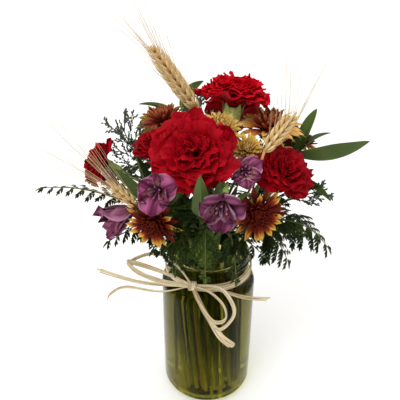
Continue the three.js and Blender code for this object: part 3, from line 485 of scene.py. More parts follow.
def smooth_path(points, steps):
    """Evenly many points on a smooth curve through the given ones."""
    p = np.asarray(points, float)
    p = np.concatenate([[2 * p[0] - p[1]], p, [2 * p[-1] - p[-2]]])
    out = []
    for s in np.linspace(0, len(points) - 1, steps):
        i = min(int(s), len(points) - 2)
        t = s - i
        a, b, c, d = p[i : i + 4]
        line = 2 * b + (c - a) * t
        curve = (2 * a - 5 * b + 4 * c - d) * t**2
        out.append(0.5 * (line + curve + (3 * b - a - 3 * c + d) * t**3))
    return np.array(out)


def streak_group():
    """Fine streaks along a sheet, for fibres, veins and the tints of petals."""
    group = bpy.data.node_groups.new("streaks", "ShaderNodeTree")
    sockets = {"INPUT": ("Lines", "Stretch"), "OUTPUT": ("Streak", "Along", "Across", "Chance")}
    for way, names in sockets.items():
        for name in names:
            group.interface.new_socket(name, in_out=way, socket_type="NodeSocketFloat")
    nodes = Nodes(group)
    given = nodes.add("NodeGroupInput").outputs
    marks = {
        name: nodes.add("ShaderNodeAttribute", attribute_name=name.lower()).outputs["Fac"]
        for name in ("Along", "Across", "Chance")
    }
    where = [
        ("X", nodes.math("MULTIPLY", marks["Across"], given["Lines"])),
        ("Y", nodes.math("MULTIPLY", marks["Along"], given["Stretch"])),
        ("Z", nodes.math("MULTIPLY", marks["Chance"], 61.0)),
    ]
    fine = nodes.noise(nodes.add("ShaderNodeCombineXYZ", where).outputs[0], 1.0, 3.0)
    nodes.add("NodeGroupOutput", [("Streak", nodes.span(fine, 0.32, 0.68)), *marks.items()])
    return group


STREAKS = streak_group()


def streaks(finish, lines, stretch):
    """The streak group placed in a finish: so many lines across, and so stretched along."""
    inputs = [("Lines", lines), ("Stretch", stretch)]
    return finish.add("ShaderNodeGroup", inputs, node_tree=STREAKS).outputs


def off_middle(finish, across):
    """How far across a sheet from its midrib: 0 there and 0.5 at its edges."""
    return finish.math("ABSOLUTE", finish.math("SUBTRACT", across, 0.5))


raffia = Finish("raffia_fibre", Roughness=0.62, Specular_IOR_Level=0.15)
fibre = streaks(raffia, 9.0, 2.2)
pale_fibres = raffia.span(fibre["Streak"], 0.2, 0.6)
raffia_body = raffia.mix(pale_fibres, (0.30, 0.19, 0.08), (0.88, 0.78, 0.54))
raffia_edges = raffia.span(off_middle(raffia, fibre["Across"]), 0.34, 0.5, 0.0, 0.75)
raffia.colour(raffia.mix(raffia_edges, raffia_body, (0.44, 0.31, 0.15)))
raffia.bump(fibre["Streak"], 0.0003, 0.7)


def ribbon(sheaf, path, width, facing, closed=False):
    """A creased strip along a path. facing gives the way that its flat side looks at each point.
    A strip that isn't closed twists a little and tapers to its end."""
    s = np.linspace(0, 1, len(path))
    ahead = np.gradient(path, axis=0)
    ahead /= np.linalg.norm(ahead, axis=1, keepdims=True)
    side = np.cross(ahead, facing)
    side /= np.linalg.norm(side, axis=1, keepdims=True)
    face = np.cross(side, ahead)
    phase = [sheaf.phase() for _ in range(4)]
    wide = width / 2 * (1 + 0.16 * np.sin(9 * s + phase[1]) + 0.07 * np.sin(23 * s + phase[2]))
    if not closed:
        twist = (0.3 * np.sin(2.3 * s * math.pi + phase[0]) * np.sin(s * math.pi))[:, None]
        cos, sin = np.cos(twist), np.sin(twist)
        side, face = side * cos + face * sin, face * cos - side * sin
        taper = 1 - (1 - TAPER_TO) * (s - TAPER_FROM) / (1 - TAPER_FROM)
        wide = wide * np.where(s > TAPER_FROM, taper, 1)
    wide = wide[:, None]
    deep = 1 + 0.8 * np.sin(6 * s + phase[3])[:, None]
    grid = path[:, None] + side[:, None] * (wide * STRIP_ACROSS)[..., None]
    grid = grid + face[:, None] * (wide * STRIP_CREASE * deep)[..., None]
    if closed:
        grid[-1] = grid[0]
    sheaf.sheet(grid, STRIP_THICKNESS)


bow = Sheaf(5)
turn = np.linspace(0, 2 * math.pi, 73)
for height, width in zip(BAND_HEIGHTS, BAND_WIDTHS):
    phase = bow.phase()
    radius = BAND_RADIUS + bow.draw(0.3, 1.6) * MM
    level = (height + 1.1 * np.sin(turn + phase)) * MM
    around = np.stack([radius * np.cos(turn), radius * np.sin(turn), level], axis=1)
    outward = np.stack([np.cos(turn), np.sin(turn), 0 * turn], axis=1)
    ribbon(bow, around, width * MM, outward, closed=True)
for width, tail, fan, via in BOW_STRIPS:
    knot = tuple(KNOT / MM)
    path = smooth_path([knot, *via] if tail else [knot, *via, knot], 48) * MM
    outward = np.tile([0.0, -1, 0.12], (len(path), 1))
    across_end = unit([path[-8, 2] - path[-1, 2], 0, path[-1, 0] - path[-8, 0]])
    for layer, (share, drift, fans) in enumerate(STRANDS):
        aside = [bow.draw(-0.8, 0.8), -0.35 * layer - 0.2, drift + bow.draw(-0.7, 0.7)]
        swing = math.pi * (0.55 if tail else 1.0) * bow.draw(0.8, 1.1)
        sway = np.sin(np.linspace(0, swing, len(path)))[:, None]
        end = len(path) - (bow.dice.randrange(0, 4) if tail else 0)
        apart = np.linspace(0, 1, len(path))[:, None] ** 1.5 * fan * fans * MM
        strand = path + sway * aside * MM + apart * across_end
        ribbon(bow, strand[:end], width * share * MM, outward[:end])
turn = np.linspace(0, 2 * math.pi, 25)
for lean, width in KNOT_STRIPS:
    loop = KNOT + mm([lean + 0.7 * np.sin(turn), 3.1 * np.cos(turn), 4.7 * np.sin(turn)]).T
    outward = np.stack([0 * turn, np.cos(turn), np.sin(turn)], axis=1)
    ribbon(bow, loop, width * MM, outward, closed=True)
knot_core = mm([[-5, 0, 0.5], [-2.5, 0, 0], [0, 0, 0], [2.5, 0, 0], [5, 0, -0.5]])
bow.rod(KNOT + knot_core, mm([1.6, 2.6, 3.0, 2.6, 1.6]), 12)
dress(bow.piece("raffia_ties", [raffia]), "raffia_bow")

# ---- Carnations ----
# A stout pale-green stem that swells at its joints, a long toothed calyx, and a full dome of
# soft red petals. Each petal is a fan with a ruffled, toothed edge on a narrow claw.


def table(columns, **rows):
    """Rows by their name, with the values of each by the name of their column."""
    return {name: dict(zip(columns.split(), values)) for name, values in rows.items()}


STEM_FOOT = 0.0073  # where the stems stand on the glass
NECK_HEIGHT = 0.166
STEM_SLICE = 1.5 * MM  # how far from those two heights a stem's points are gathered
BLEACHED_AND_LIT_FROM, BLEACHED_AND_LIT_TO = 0.012, 0.085  # stems are palest low in the water: partly bleaching, partly painted light
CARNATION_STEM = 1.9 * MM
STEM_JOINTS = (0.62, 0.86)  # shares of the stem's length
PETAL_THICKNESS = 0.3 * MM
GOLDEN_TURN = math.radians(137.508)
# The red column picks a copy of the red: brighter on the top head, painted light, and deeper on the
# side heads, partly a deeper tone and partly painted shade.
CARNATIONS = table(
    "at faces radius red",
    front=((-15, -68, 306), (-0.05, -0.74, 0.67), 33, 0.76),
    top=((20, -2, 329), (0.12, 0.25, 0.96), 32, 1.25),
    right=((58, -54, 282), (0.35, -0.4, 0.85), 26, 0.62),
    left=((-94, -30, 279), (-0.88, -0.1, 0.46), 21, 0.62),
    shy=((-48, -32, 297), (-0.4, -0.2, 0.85), 18, 0.62),
    back=((24, 68, 290), (0.15, 0.8, 0.58), 30, 0.76),
)
CARNATION_PETALS = 54
CARNATION_THROAT = 0.3  # how far behind the centre the petals leave the calyx, in radii
CALYX_LENGTH = 0.62  # how far it reaches down from there, in radii
CALYX_HEIGHTS = np.array([-0.02, 0.06, 0.16, 0.35, 0.52, 0.62, 0.66])
CALYX_RADII = np.array([0.07, 0.17, 0.205, 0.225, 0.235, 0.235, 0.20])
CALYX_TEETH = 5
TOOTH_THICKNESS = 0.5 * MM
WATER_POINTS, UPPER_POINTS = 9, 16  # points of a stem's path below and above the mouth


def standing(node_name):
    """The middle of a packed stem on the jar's floor, and where it passes the mouth."""
    points = np.array([v.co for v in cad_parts[node_name].data.vertices])
    points = np.unique(points.round(6), axis=0)
    foot = points[points[:, 2] < STEM_FOOT + STEM_SLICE].mean(axis=0)
    neck = points[abs(points[:, 2] - NECK_HEIGHT) < STEM_SLICE].mean(axis=0)
    return foot, neck


def bend(start, leaving, end, arriving, steps):
    """Points on a bend between two places, with the directions in which it leaves and arrives."""
    reach = np.linalg.norm(end - start)
    a = start + leaving * 0.36 * reach
    b = end - arriving * 0.4 * reach
    t = np.linspace(0, 1, steps)[:, None]
    return start * (1 - t) ** 3 + 3 * a * t * (1 - t) ** 2 + 3 * b * t**2 * (1 - t) + end * t**3


def stem_path(node_name, end, arriving):
    """From the jar's floor straight to the mouth, then in a bend to the flower."""
    foot, neck = standing(node_name)
    lower = foot + (neck - foot) * np.linspace(0, 1, WATER_POINTS)[:-1, None]
    return np.concatenate([lower, bend(neck, unit(neck - foot), end, unit(arriving), UPPER_POINTS)])


def spoke(across, turn):
    """The direction at a turn from the first of two directions that lie across an axis."""
    return across[0] * math.cos(turn) + across[1] * math.sin(turn)


def facing(flower):
    """The way a flower faces, two directions across it, its radius and its centre."""
    axis = unit(flower["faces"])
    return axis, about(axis), flower["radius"] * MM, mm(flower["at"])


def round_body(sheaf, foot, axis, heights, radii, sides, finish=0):
    """A round body along an axis, with its own radius at each height."""
    sheaf.rod(foot + heights[:, None] * axis, radii, sides, finish)


def bent_sheet(root, axis, outward, length, tilt, half, lift=None, reach=None, rows=9, columns=9):
    """The points of a blade that leaves its root along axis and leans outward by tilt degrees at
    each share of its length. half is its half width, lift how far it rises from flat and reach
    how far each strip of it runs, all in lengths of the blade."""
    s = np.linspace(0, 1.3, 66)  # a little past its length, as some of its strips run on
    lean = np.radians(tilt(s))
    step = np.outer(np.cos(lean), axis) + np.outer(np.sin(lean), outward)
    path = root + np.concatenate([np.zeros((1, 3)), np.cumsum(step[:-1], axis=0)]) * length * s[1]
    rise = np.outer(np.sin(lean), axis) - np.outer(np.cos(lean), outward)
    along = np.linspace(0, 1, rows)[:, None]
    across = np.linspace(-1, 1, columns)[None, :]
    q = along * (reach(across) if reach else np.ones_like(across))
    middle = np.stack([np.interp(q, s, path[:, k]) for k in range(3)], axis=-1)
    above = np.stack([np.interp(q, s, rise[:, k]) for k in range(3)], axis=-1)
    grid = middle + (across * half(along) * length)[..., None] * np.cross(axis, outward)
    if lift:
        grid = grid + (lift(along, across) * length)[..., None] * above
    return grid


def ramped(finish, value, stops):
    """A colour that changes along a value, through (place, red, green, blue) stops."""
    made = finish.add("ShaderNodeValToRGB", [("Fac", value)])
    elements = made.color_ramp.elements
    while len(elements) < len(stops):
        elements.new(0.5)
    for element, (place, *colour) in zip(elements, stops):
        element.position = place
        element.color = (*colour, 1)
    return made.outputs["Color"]


def deepened(depth, stops):
    """The same colour stops, fuller or paler by a factor."""
    return [(place, *(depth * c for c in colour)) for place, *colour in stops]


def petal_finish(name, stops, dark, lines=7.0, shade=0.5):
    """A petal: its colour runs through stops from claw to tip, with darker streaks along it."""
    petal = Finish(name, Roughness=0.6, Specular_IOR_Level=0.06)
    marks = streaks(petal, lines, 1.2)
    body = ramped(petal, marks["Along"], stops)
    petal.colour(petal.mix(petal.span(marks["Streak"], 0.0, 1.0, shade, 0.0), body, dark))
    petal.bump(marks["Streak"], 0.0004, 0.35)
    return petal


def stem_finish(name, young, old, roughness=0.5):
    """Green stem skin in long soft patches, paler towards its foot in the water: partly
    bleaching, partly painted light, as less shade falls low in the jar.
    """
    stem = Finish(name, Roughness=roughness, Specular_IOR_Level=0.15)
    streak = streaks(stem, 3.0, 6.0)["Streak"]
    skin = stem.mix(stem.span(stem.patches(35.0), 0.3, 0.7), young, old)
    # Paler low in the water: partly bleaching, partly painted light where less shade falls.
    bleached_and_lit = stem.span(stem.height(), BLEACHED_AND_LIT_FROM, BLEACHED_AND_LIT_TO, 0.85, 0.0)
    skin = stem.mix(bleached_and_lit, skin, (0.66, 0.62, 0.22))
    stem.colour(stem.mix(stem.span(streak, 0, 1, 0, 0.35), skin, old))
    stem.bump(streak, 0.0002, 0.5)
    return stem


# Red from claw to tip. The darkest stops at the claw, deep inside the flower, are painted shade in its
# throat.
CARNATION_COLOURS_SHADED_THROAT = [
    (0.0, 0.11, 0.0, 0.001),
    (0.5, 0.28, 0.0005, 0.003),
    (0.85, 0.42, 0.001, 0.007),
    (1.0, 0.48, 0.002, 0.012),
]


def carnation_red_lit_and_shaded(depth):
    """The same red, brighter or deeper from head to head. The brighter copy on the top head is
    painted light; the deeper copies on the side heads are partly a deeper tone, partly painted shade.
    """
    dark = (0.24 * depth, 0.0, 0.003)
    name = f"carnation_red_lit_and_shaded_{round(100 * depth)}"
    return petal_finish(name, deepened(depth, CARNATION_COLOURS_SHADED_THROAT), dark)


CARNATION_LIT_AND_SHADED_REDS = {depth: carnation_red_lit_and_shaded(depth) for depth in (1.25, 0.76, 0.62)}
carnation_stem = stem_finish("carnation_stem", (0.40, 0.42, 0.13), (0.20, 0.25, 0.06))


def fan_petal(sheaf, root, axis, outward, length, lean, width, curl):
    """One carnation petal: a narrow claw that opens into a broad fan with a ruffled edge."""
    waves = sheaf.draw(1.0, 1.7)
    phase = [sheaf.phase() for _ in range(4)]
    teeth = np.array([sheaf.draw(-0.02, 0.02) + 0.012 * (-1) ** k for k in range(21)])
    lobes = 0.045 * np.sin(math.pi * 2.2 * np.linspace(-1, 1, 21) + phase[3])
    hollow = sheaf.draw(0.02, 0.2)

    def tilt(s):
        return 0.30 * lean + 0.72 * lean * np.clip(s, 0, 1) ** 0.7 + curl * np.clip(s - 0.70, 0, 1)

    def half(s):
        opening = np.sin(0.5 * math.pi * np.clip(s / 0.86, 0, 1)) ** 1.5
        return 0.06 + width * opening * (1 - 0.5 * np.clip(s - 0.86, 0, 1))

    def lift(s, w):
        ruffle = 0.12 * np.sin(math.pi * waves * w + phase[0])
        ruffle = ruffle + 0.05 * np.sin(math.pi * 3.1 * w + phase[1])
        crimp = 0.022 * np.sin(math.pi * 6.3 * w + phase[2])
        return 0.8 * s**2 * ruffle + crimp * s**4 + hollow * w**2 * s

    def reach(w):
        return 1 - 0.24 * np.abs(w) ** 3 + teeth[None, :] + lobes[None, :]

    grid = bent_sheet(root, axis, outward, length, tilt, half, lift, reach, rows=10, columns=21)
    sheaf.sheet(grid, PETAL_THICKNESS)


def carnation_head(flower, seed):
    """Petals all round, the outer ones leaning out furthest and the inner ones nearly upright."""
    sheaf = Sheaf(seed)
    axis, across, r, centre = facing(flower)
    root = centre - axis * CARNATION_THROAT * r
    for k in range(CARNATION_PETALS):
        t = k / (CARNATION_PETALS - 1)
        outward = spoke(across, GOLDEN_TURN * k + sheaf.draw(-0.6, 0.6))
        lean = 100 * (1 - t) ** 0.75 + 2 + sheaf.draw(-14, 14) * (1.2 - t)
        length = r * (1.04 - 0.15 * t + sheaf.draw(-0.10, 0.04))
        claw = root + outward * 0.08 * r * (1 - t)
        fan_petal(sheaf, claw, axis, outward, length, lean, 0.56 - 0.18 * t, 75 + 60 * t)
    return sheaf


for number, (name, flower) in enumerate(CARNATIONS.items()):
    head = carnation_head(flower, 11 + number)
    head = head.piece(f"carnation_{name}_bloom", [CARNATION_LIT_AND_SHADED_REDS[flower["red"]]])
    dress(head, f"carnation_{name}_petals")

    stalk = Sheaf(41 + number)
    axis, across, r, centre = facing(flower)
    under = centre - axis * (CARNATION_THROAT + CALYX_LENGTH) * r
    path = stem_path(f"carnation_{name}_stem", under, axis)
    share = np.linspace(0, 1, len(path))
    swell = 1
    for place in STEM_JOINTS:
        swell = swell + 0.3 * np.exp(-(((share - place) / 0.012) ** 2))
    stalk.rod(path, CARNATION_STEM * (1 - 0.22 * np.clip(share - 0.35, 0, 1)) * swell, 12)
    round_body(stalk, under, axis, CALYX_HEIGHTS * r, CALYX_RADII * r, 16)
    for k in range(CALYX_TEETH):
        outward = spoke(across, 2 * math.pi * k / CALYX_TEETH)
        foot = under + axis * 0.50 * r + outward * 0.228 * r
        tooth = bent_sheet(
            foot, axis, outward, 0.30 * r, lambda s: 8 + 24 * s,
            lambda s: 0.42 * (1 - s) ** 0.8, rows=5, columns=5,
        )
        stalk.sheet(tooth, TOOTH_THICKNESS)
    stem = stalk.piece(f"carnation_{name}_stalk", [carnation_stem])
    dress(stem, f"carnation_{name}_stem")

# ---- Spray chrysanthemums ----
# One or more flowers to a stem. Each is ring upon ring of narrow quilled florets, rust, bronze,
# gold or burgundy on the face and mostly yellow on the back, over a cup of small green bracts.
CHRYSANTHEMUM_STEM = 2.0 * MM
CHRYSANTHEMUM_THROAT = 0.22  # how far behind the centre the florets start, in radii
CUP_DEPTH = 0.2
CUP_HEIGHTS = np.array([-0.03, 0.02, 0.08, 0.14, 0.19])
CUP_RADII = np.array([0.09, 0.18, 0.25, 0.27, 0.22])
HEART_HEIGHTS = np.array([0.0, 0.1, 0.2, 0.27])
HEART_RADII = np.array([0.2, 0.25, 0.2, 0.08])
CHRYSANTHEMUMS = table(
    "at faces radius spray tint",
    left=((-42, 10, 303), (-0.25, 0.05, 1), 24, "left", "rust"),
    crest=((7, -34, 312), (0.2, -0.45, 0.85), 20, "left", "gold"),
    high=((51, -10, 305), (0.05, -0.2, 1), 28, "right", "bronze"),
    side=((83, 0, 288), (0.6, -0.05, 0.8), 17, "right", "bronze"),
    middle=((29, -42, 298), (0.05, -0.7, 0.7), 15, "right", "gold"),
    low_left=((-45, -86, 254), (-0.28, -0.95, -0.1), 23, "low_left", "burgundy"),
    low_right=((36, -82, 260), (0.25, -0.93, 0.15), 23, "low_right", "burgundy"),
    back_left=((-50, 56, 284), (-0.45, 0.75, 0.5), 25, "back", "bronze"),
    back_right=((74, 56, 262), (0.6, 0.7, 0.35), 23, "back", "burgundy"),
)
SPRAY_FORKS = {"left": (-22, 0, 250), "right": (44, -16, 252), "back": (10, 40, 234)}
FLORETS = 72
OUTER_FLORETS = 24
FLORET_THICKNESS = 0.28 * MM
BRACTS = 18
BRACT_THICKNESS = 0.4 * MM
BRANCH_POINTS = 12

# The colour of each floret's streaks, and its own stops from foot to tip.
FLORET_COLOURS = {
    "rust": [
        (0.10, 0.010, 0.006), (0.0, 0.05, 0.004, 0.003), (0.5, 0.20, 0.024, 0.012),
        (0.85, 0.32, 0.060, 0.028), (1.0, 0.48, 0.19, 0.07),
    ],
    "bronze": [
        (0.30, 0.04, 0.015), (0.0, 0.10, 0.010, 0.004), (0.45, 0.32, 0.055, 0.018),
        (0.68, 0.62, 0.32, 0.06), (1.0, 0.86, 0.68, 0.26),
    ],
    "gilded": [
        (0.30, 0.08, 0.02), (0.0, 0.10, 0.014, 0.006), (0.4, 0.36, 0.13, 0.03),
        (0.75, 0.68, 0.44, 0.08), (1.0, 0.86, 0.70, 0.26),
    ],
    "wine": [
        (0.03, 0.002, 0.002), (0.0, 0.02, 0.001, 0.001), (0.6, 0.075, 0.004, 0.003),
        (1.0, 0.16, 0.020, 0.007),
    ],
    "tipped": [
        (0.13, 0.010, 0.004), (0.0, 0.03, 0.001, 0.001), (0.50, 0.09, 0.004, 0.003),
        (0.68, 0.24, 0.040, 0.008), (0.84, 0.60, 0.32, 0.04), (1.0, 0.84, 0.62, 0.14),
    ],
    "yellow": [
        (0.42, 0.22, 0.04), (0.0, 0.26, 0.19, 0.03), (0.5, 0.62, 0.45, 0.07),
        (1.0, 0.82, 0.65, 0.16),
    ],
}
# For each tint: the face of the outer florets, their back, and both sides of the inner ones.
FLORET_TINTS = {
    "rust": ["rust", "rust", "rust"],
    "bronze": ["bronze", "yellow", "rust"],
    "gold": ["gilded", "yellow", "gilded"],
    "burgundy": ["tipped", "yellow", "wine"],
}
florets = {
    kind: petal_finish(f"floret_{kind}", stops, dark, 3.0, 0.55 if kind == "tipped" else 0.45)
    for kind, (dark, *stops) in FLORET_COLOURS.items()
}
chrysanthemum_stem = stem_finish("chrysanthemum_stem", (0.32, 0.32, 0.09), (0.15, 0.18, 0.04))


def quill(sheaf, root, axis, outward, length, lean, width, curl, roll, finishes):
    """One floret: a strap with a blunt tip, rolled up at its edges and curled in or out."""

    def tilt(s):
        return 0.30 * lean + 0.80 * lean * np.clip(s, 0, 1) ** 0.5 - curl * np.clip(s, 0, 1.3) ** 2

    def half(s):
        return width * (0.42 + 0.58 * np.clip(s * 1.4, 0, 1)) * np.sqrt(np.clip(1 - s**7, 0, 1))

    def lift(s, w):
        return width * roll * (1.0 - 0.3 * s) * w**2

    def reach(w):
        return 1 - 0.08 * w**2 + 0.025 * np.cos(2 * math.pi * w)

    grid = bent_sheet(root, axis, outward, length, tilt, half, lift, reach, rows=8, columns=5)
    sheaf.sheet(grid, FLORET_THICKNESS, *finishes)


def chrysanthemum_head(flower, seed):
    """Burgundy heads are flat like a daisy, with gold tips on some of their outer florets, more
    often on the lower ones: the upper ones stay wine-dark more often, which is painted shade
    under the flowers above. The others curve their inner florets in over the middle."""
    sheaf = Sheaf(seed)
    axis, across, r, centre = facing(flower)
    root = centre - axis * CHRYSANTHEMUM_THROAT * r
    flat = flower["tint"] == "burgundy"
    for k in range(FLORETS):
        t = k / (FLORETS - 1)
        outward = spoke(across, GOLDEN_TURN * k + sheaf.draw(-0.12, 0.12))
        finishes = (2, 2)
        if k < OUTER_FLORETS:
            lean = (94 if flat else 100) - 45 * t + sheaf.draw(-9, 9)
            length = r * (1.03 - 0.35 * t + sheaf.draw(-0.09, 0.04))
            width, curl, roll = 0.105 * r, sheaf.draw(-6, 12), 0.45
            # On burgundy heads the upper outer florets stay wine-dark more often: painted shade.
            golden_where_lit = 1.0 if not flat else 0.85 if outward[2] < -0.1 else 0.35
            if sheaf.dice.random() < golden_where_lit:
                finishes = (0, 1)
        else:
            inner = (t - OUTER_FLORETS / FLORETS) / (1 - OUTER_FLORETS / FLORETS)
            lean = 72 * (1 - inner) ** 0.8 + 4 + sheaf.draw(-6, 6)
            share = 0.66 - 0.34 * inner if flat else 0.86 - 0.26 * inner
            length = r * share * sheaf.draw(0.92, 1.06)
            width, curl, roll = 0.085 * r, (10 if flat else 42), 0.9
        base = root + outward * 0.17 * r * (1 - t) + axis * 0.12 * r * t
        quill(sheaf, base, axis, outward, length, lean, width / length, curl, roll, finishes)
    round_body(sheaf, root, axis, HEART_HEIGHTS * r, HEART_RADII * r, 14, 2)
    return sheaf


def cup_of_bracts(sheaf, under, axis, r):
    """The green cup under a flower: a shallow bowl with two rings of pointed bracts."""
    round_body(sheaf, under, axis, CUP_HEIGHTS * r, CUP_RADII * r, 14)
    across = about(axis)
    for k in range(BRACTS):
        upper = k % 2
        outward = spoke(across, 2 * math.pi * (k + 0.5 * upper) / (BRACTS // 2))
        foot = under + axis * (0.03 + 0.04 * upper) * r + outward * 0.20 * r
        bract = bent_sheet(
            foot, axis, outward, 0.24 * r, lambda s: 46 + 10 * s,
            lambda s: 0.26 * np.sqrt(np.clip(1 - s**2, 0, 1)), rows=5, columns=3,
        )
        sheaf.sheet(bract, BRACT_THICKNESS)


def forked_stem(stalk, node_name, fork, ends, radius):
    """A stem up to its fork, which heads for the middle of its flowers. Gives the fork's place
    and heading, and the stem's path."""
    fork = mm(fork)
    heading = unit(np.mean([end for end, *_ in ends], axis=0) - fork)
    path = stem_path(node_name, fork, heading)
    stalk.rod(path, radius * np.linspace(1.0, 0.8, len(path)), 10)
    return fork, heading, path


for number, (name, flower) in enumerate(CHRYSANTHEMUMS.items()):
    head = chrysanthemum_head(flower, 61 + number)
    kinds = FLORET_TINTS[flower["tint"]]
    head = head.piece(f"chrysanthemum_{name}_bloom", [florets[kind] for kind in kinds])
    dress(head, f"chrysanthemum_{name}_florets")

for spray in ("left", "right", "low_left", "low_right", "back"):
    ends = []
    for flower in CHRYSANTHEMUMS.values():
        if flower["spray"] == spray:
            axis, _, r, centre = facing(flower)
            ends.append((centre - axis * (CHRYSANTHEMUM_THROAT + CUP_DEPTH) * r, axis, r))
    stalk = Sheaf(81)
    node_name = f"chrysanthemum_{spray}_stem"
    if spray in SPRAY_FORKS:
        fork, heading, _ = forked_stem(
            stalk, node_name, SPRAY_FORKS[spray], ends, CHRYSANTHEMUM_STEM
        )
        for end, axis, r in ends:
            stalk.rod(bend(fork, heading, end, axis, BRANCH_POINTS), CHRYSANTHEMUM_STEM * 0.68)
    else:
        end, axis, _ = ends[0]
        path = stem_path(node_name, end, axis)
        stalk.rod(path, CHRYSANTHEMUM_STEM * np.linspace(1.0, 0.75, len(path)), 10)
    for end, axis, r in ends:
        cup_of_bracts(stalk, end, axis, r)
    dress(stalk.piece(f"chrysanthemum_{spray}_stalk", [chrysanthemum_stem]), node_name)

# ---- Alstroemeria ----
# Open funnels of six tepals, three broad outer ones and three narrower inner ones with dark
# flecks on a pale throat, with stamens. The flower stalks leave one stem with smooth leaves.
ALSTROEMERIA_STEM = 2.1 * MM
ALSTROEMERIA_THROAT = 0.75  # how far behind the centre the tepals start, in radii
TEPAL_THICKNESS = 0.4 * MM
FILAMENT_POINTS = 9
OVARY_LENGTH = 7  # in millimetres
OVARY_HEIGHTS = mm([-1.0, 0.5, 3, 5.5, 7.2])
OVARY_RADII = mm([1.3, 2.2, 2.7, 2.3, 1.7])
ALSTROEMERIAS = table(
    "at faces radius stem open depth roll",
    front=((-41, -103, 291), (-0.2, -0.9, 0.35), 21, "left", 0.80, 1.0),
    low=((-78, -65, 246), (-0.82, -0.42, -0.3), 26, "left", 0.70, 1.0, -45),
    half_open=((-84, -48, 272), (-0.65, -0.3, 0.7), 12, "left", 0.45, 0.6),
    centre=((7, -113, 284), (-0.15, -0.95, -0.15), 21, "right", 0.9, 0.6),
    upper=((26, -68, 291), (0.1, -0.85, 0.5), 16, "right", 0.95, 1.0),
)
# The fork of each stem and its large leaves: from, to, width, how high they arch, and their roll.
ALSTROEMERIA_STEMS = {
    "left": (
        (-40, -44, 236),
        [
            ((-41, -47, 243), (-84, -50, 286), 24, -4, 34),
            ((-40, -44, 240), (-84, -20, 246), 14, 6),
            ((-40, -46, 242), (-58, -92, 268), 15, 6),
            ((-39, -44, 246), (-24, -84, 282), 16, -4),
        ],
    ),
    "right": (
        (6, -52, 236),
        [
            ((-2, -58, 246), (-9, -111, 309), 16, -16),
            ((8, -56, 246), (-8, -104, 264), 15, 4),
            ((8, -54, 244), (6, -92, 294), 14, -6),
            ((7, -50, 242), (-20, -84, 266), 18, 6),
            ((8, -50, 242), (26, -90, 284), 15, -4),
        ],
    ),
}
STEM_LEAVES = 11
LEAF_THICKNESS = 0.5 * MM
# The length of a broad and a narrow tepal, how far it opens in degrees, and its half width.
TEPAL_KINDS = [(1.42, 88, 0.36), (1.48, 70, 0.22)]
# How far the midrib of a tepal is darkened, and its colour stops from foot to tip. The face
# and inner stops are darkest at the foot, deep in the funnel: painted shade in its throat.
TEPAL_COLOURS_SHADED_THROAT = {
    "face": [
        0.9, (0.0, 0.03, 0.02, 0.008), (0.3, 0.09, 0.012, 0.04), (0.6, 0.33, 0.085, 0.19),
        (0.9, 0.31, 0.07, 0.17), (1.0, 0.12, 0.015, 0.05),
    ],
    "inner": [
        0.5, (0.0, 0.03, 0.03, 0.008), (0.35, 0.16, 0.12, 0.05), (0.6, 0.36, 0.18, 0.17),
        (0.85, 0.22, 0.05, 0.11), (1.0, 0.09, 0.015, 0.04),
    ],
    "back": [
        0.6, (0.0, 0.08, 0.08, 0.03), (0.3, 0.22, 0.07, 0.12), (0.7, 0.38, 0.13, 0.24),
        (1.0, 0.20, 0.05, 0.09),
    ],
}
TEPAL_DARK = (0.09, 0.008, 0.035)


def tepal_finish(part, depth):
    """A tepal: paler towards its edges, partly its own colour and partly a painted highlight, with a
    dark midrib and veins. The inner ones are also flecked. Heads in the shade of others take
    deeper copies of its colours: painted shade, partly also a deeper tone."""
    rib, *stops = TEPAL_COLOURS_SHADED_THROAT[part]
    dark = tuple(depth * c for c in TEPAL_DARK)
    petal = Finish(f"tepal_{part}_{round(100 * depth)}", Roughness=0.5, Specular_IOR_Level=0.1)
    marks = streaks(petal, 6.0, 1.2)
    aside = off_middle(petal, marks["Across"])
    body = ramped(petal, marks["Along"], deepened(depth, stops))
    # Paler towards the edges: partly the tepal's own colour, partly a painted highlight.
    body = petal.mix(petal.span(aside, 0.34, 0.5, 0.0, 0.4), body, (0.60, 0.36, 0.50))
    body = petal.mix(petal.span(marks["Streak"], 0.1, 0.8, 0.75, 0.0), body, dark)
    body = petal.mix(petal.span(aside, 0.0, 0.13, rib, 0.0), body, dark)
    if part == "inner":
        flecks = petal.span(streaks(petal, 8.0, 7.0)["Streak"], 0.70, 0.86)
        body = petal.mix(flecks, body, (0.06, 0.003, 0.02))
    petal.colour(body)
    petal.bump(marks["Streak"], 0.0004, 0.4)
    return petal


# Deeper copies for the heads in the shade of others: painted shade, partly a deeper tone.
TEPALS = {depth: [tepal_finish(part, depth) for part in TEPAL_COLOURS_SHADED_THROAT] for depth in (1.0, 0.6)}
stamen_finish = stem_finish("stamen", (0.34, 0.13, 0.24), (0.20, 0.06, 0.12))
alstroemeria_stem = stem_finish("alstroemeria_stem", (0.28, 0.35, 0.09), (0.14, 0.20, 0.045))


def tepal(sheaf, root, axis, outward, length, lean, width, finish):
    """One tepal: narrow at its foot, broadest past its middle, blunt with a small point."""
    phase = sheaf.phase()
    flare = sheaf.draw(-20, 20)
    fold = sheaf.draw(-0.02, 0.20)

    def tilt(s):
        return 6 + (lean + flare) * np.clip(s, 0, 1.3) ** 1.6

    def half(s):
        swelling = width * (0.15 + 0.85 * np.sin(0.5 * math.pi * np.clip(s / 0.66, 0, 1)) ** 1.5)
        return swelling * np.sqrt(np.clip(1 - np.clip((s - 0.66) / 0.36, 0, 1) ** 3.2, 0, 1))

    def lift(s, w):
        return fold * w**2 * np.sin(math.pi * s) + 0.09 * s**2 * np.sin(4.6 * w + phase)

    def reach(w):
        return 1.02 - 0.07 * np.abs(w)

    grid = bent_sheet(root, axis, outward, length, tilt, half, lift, reach, rows=13)
    sheaf.sheet(grid, TEPAL_THICKNESS, finish, 2)


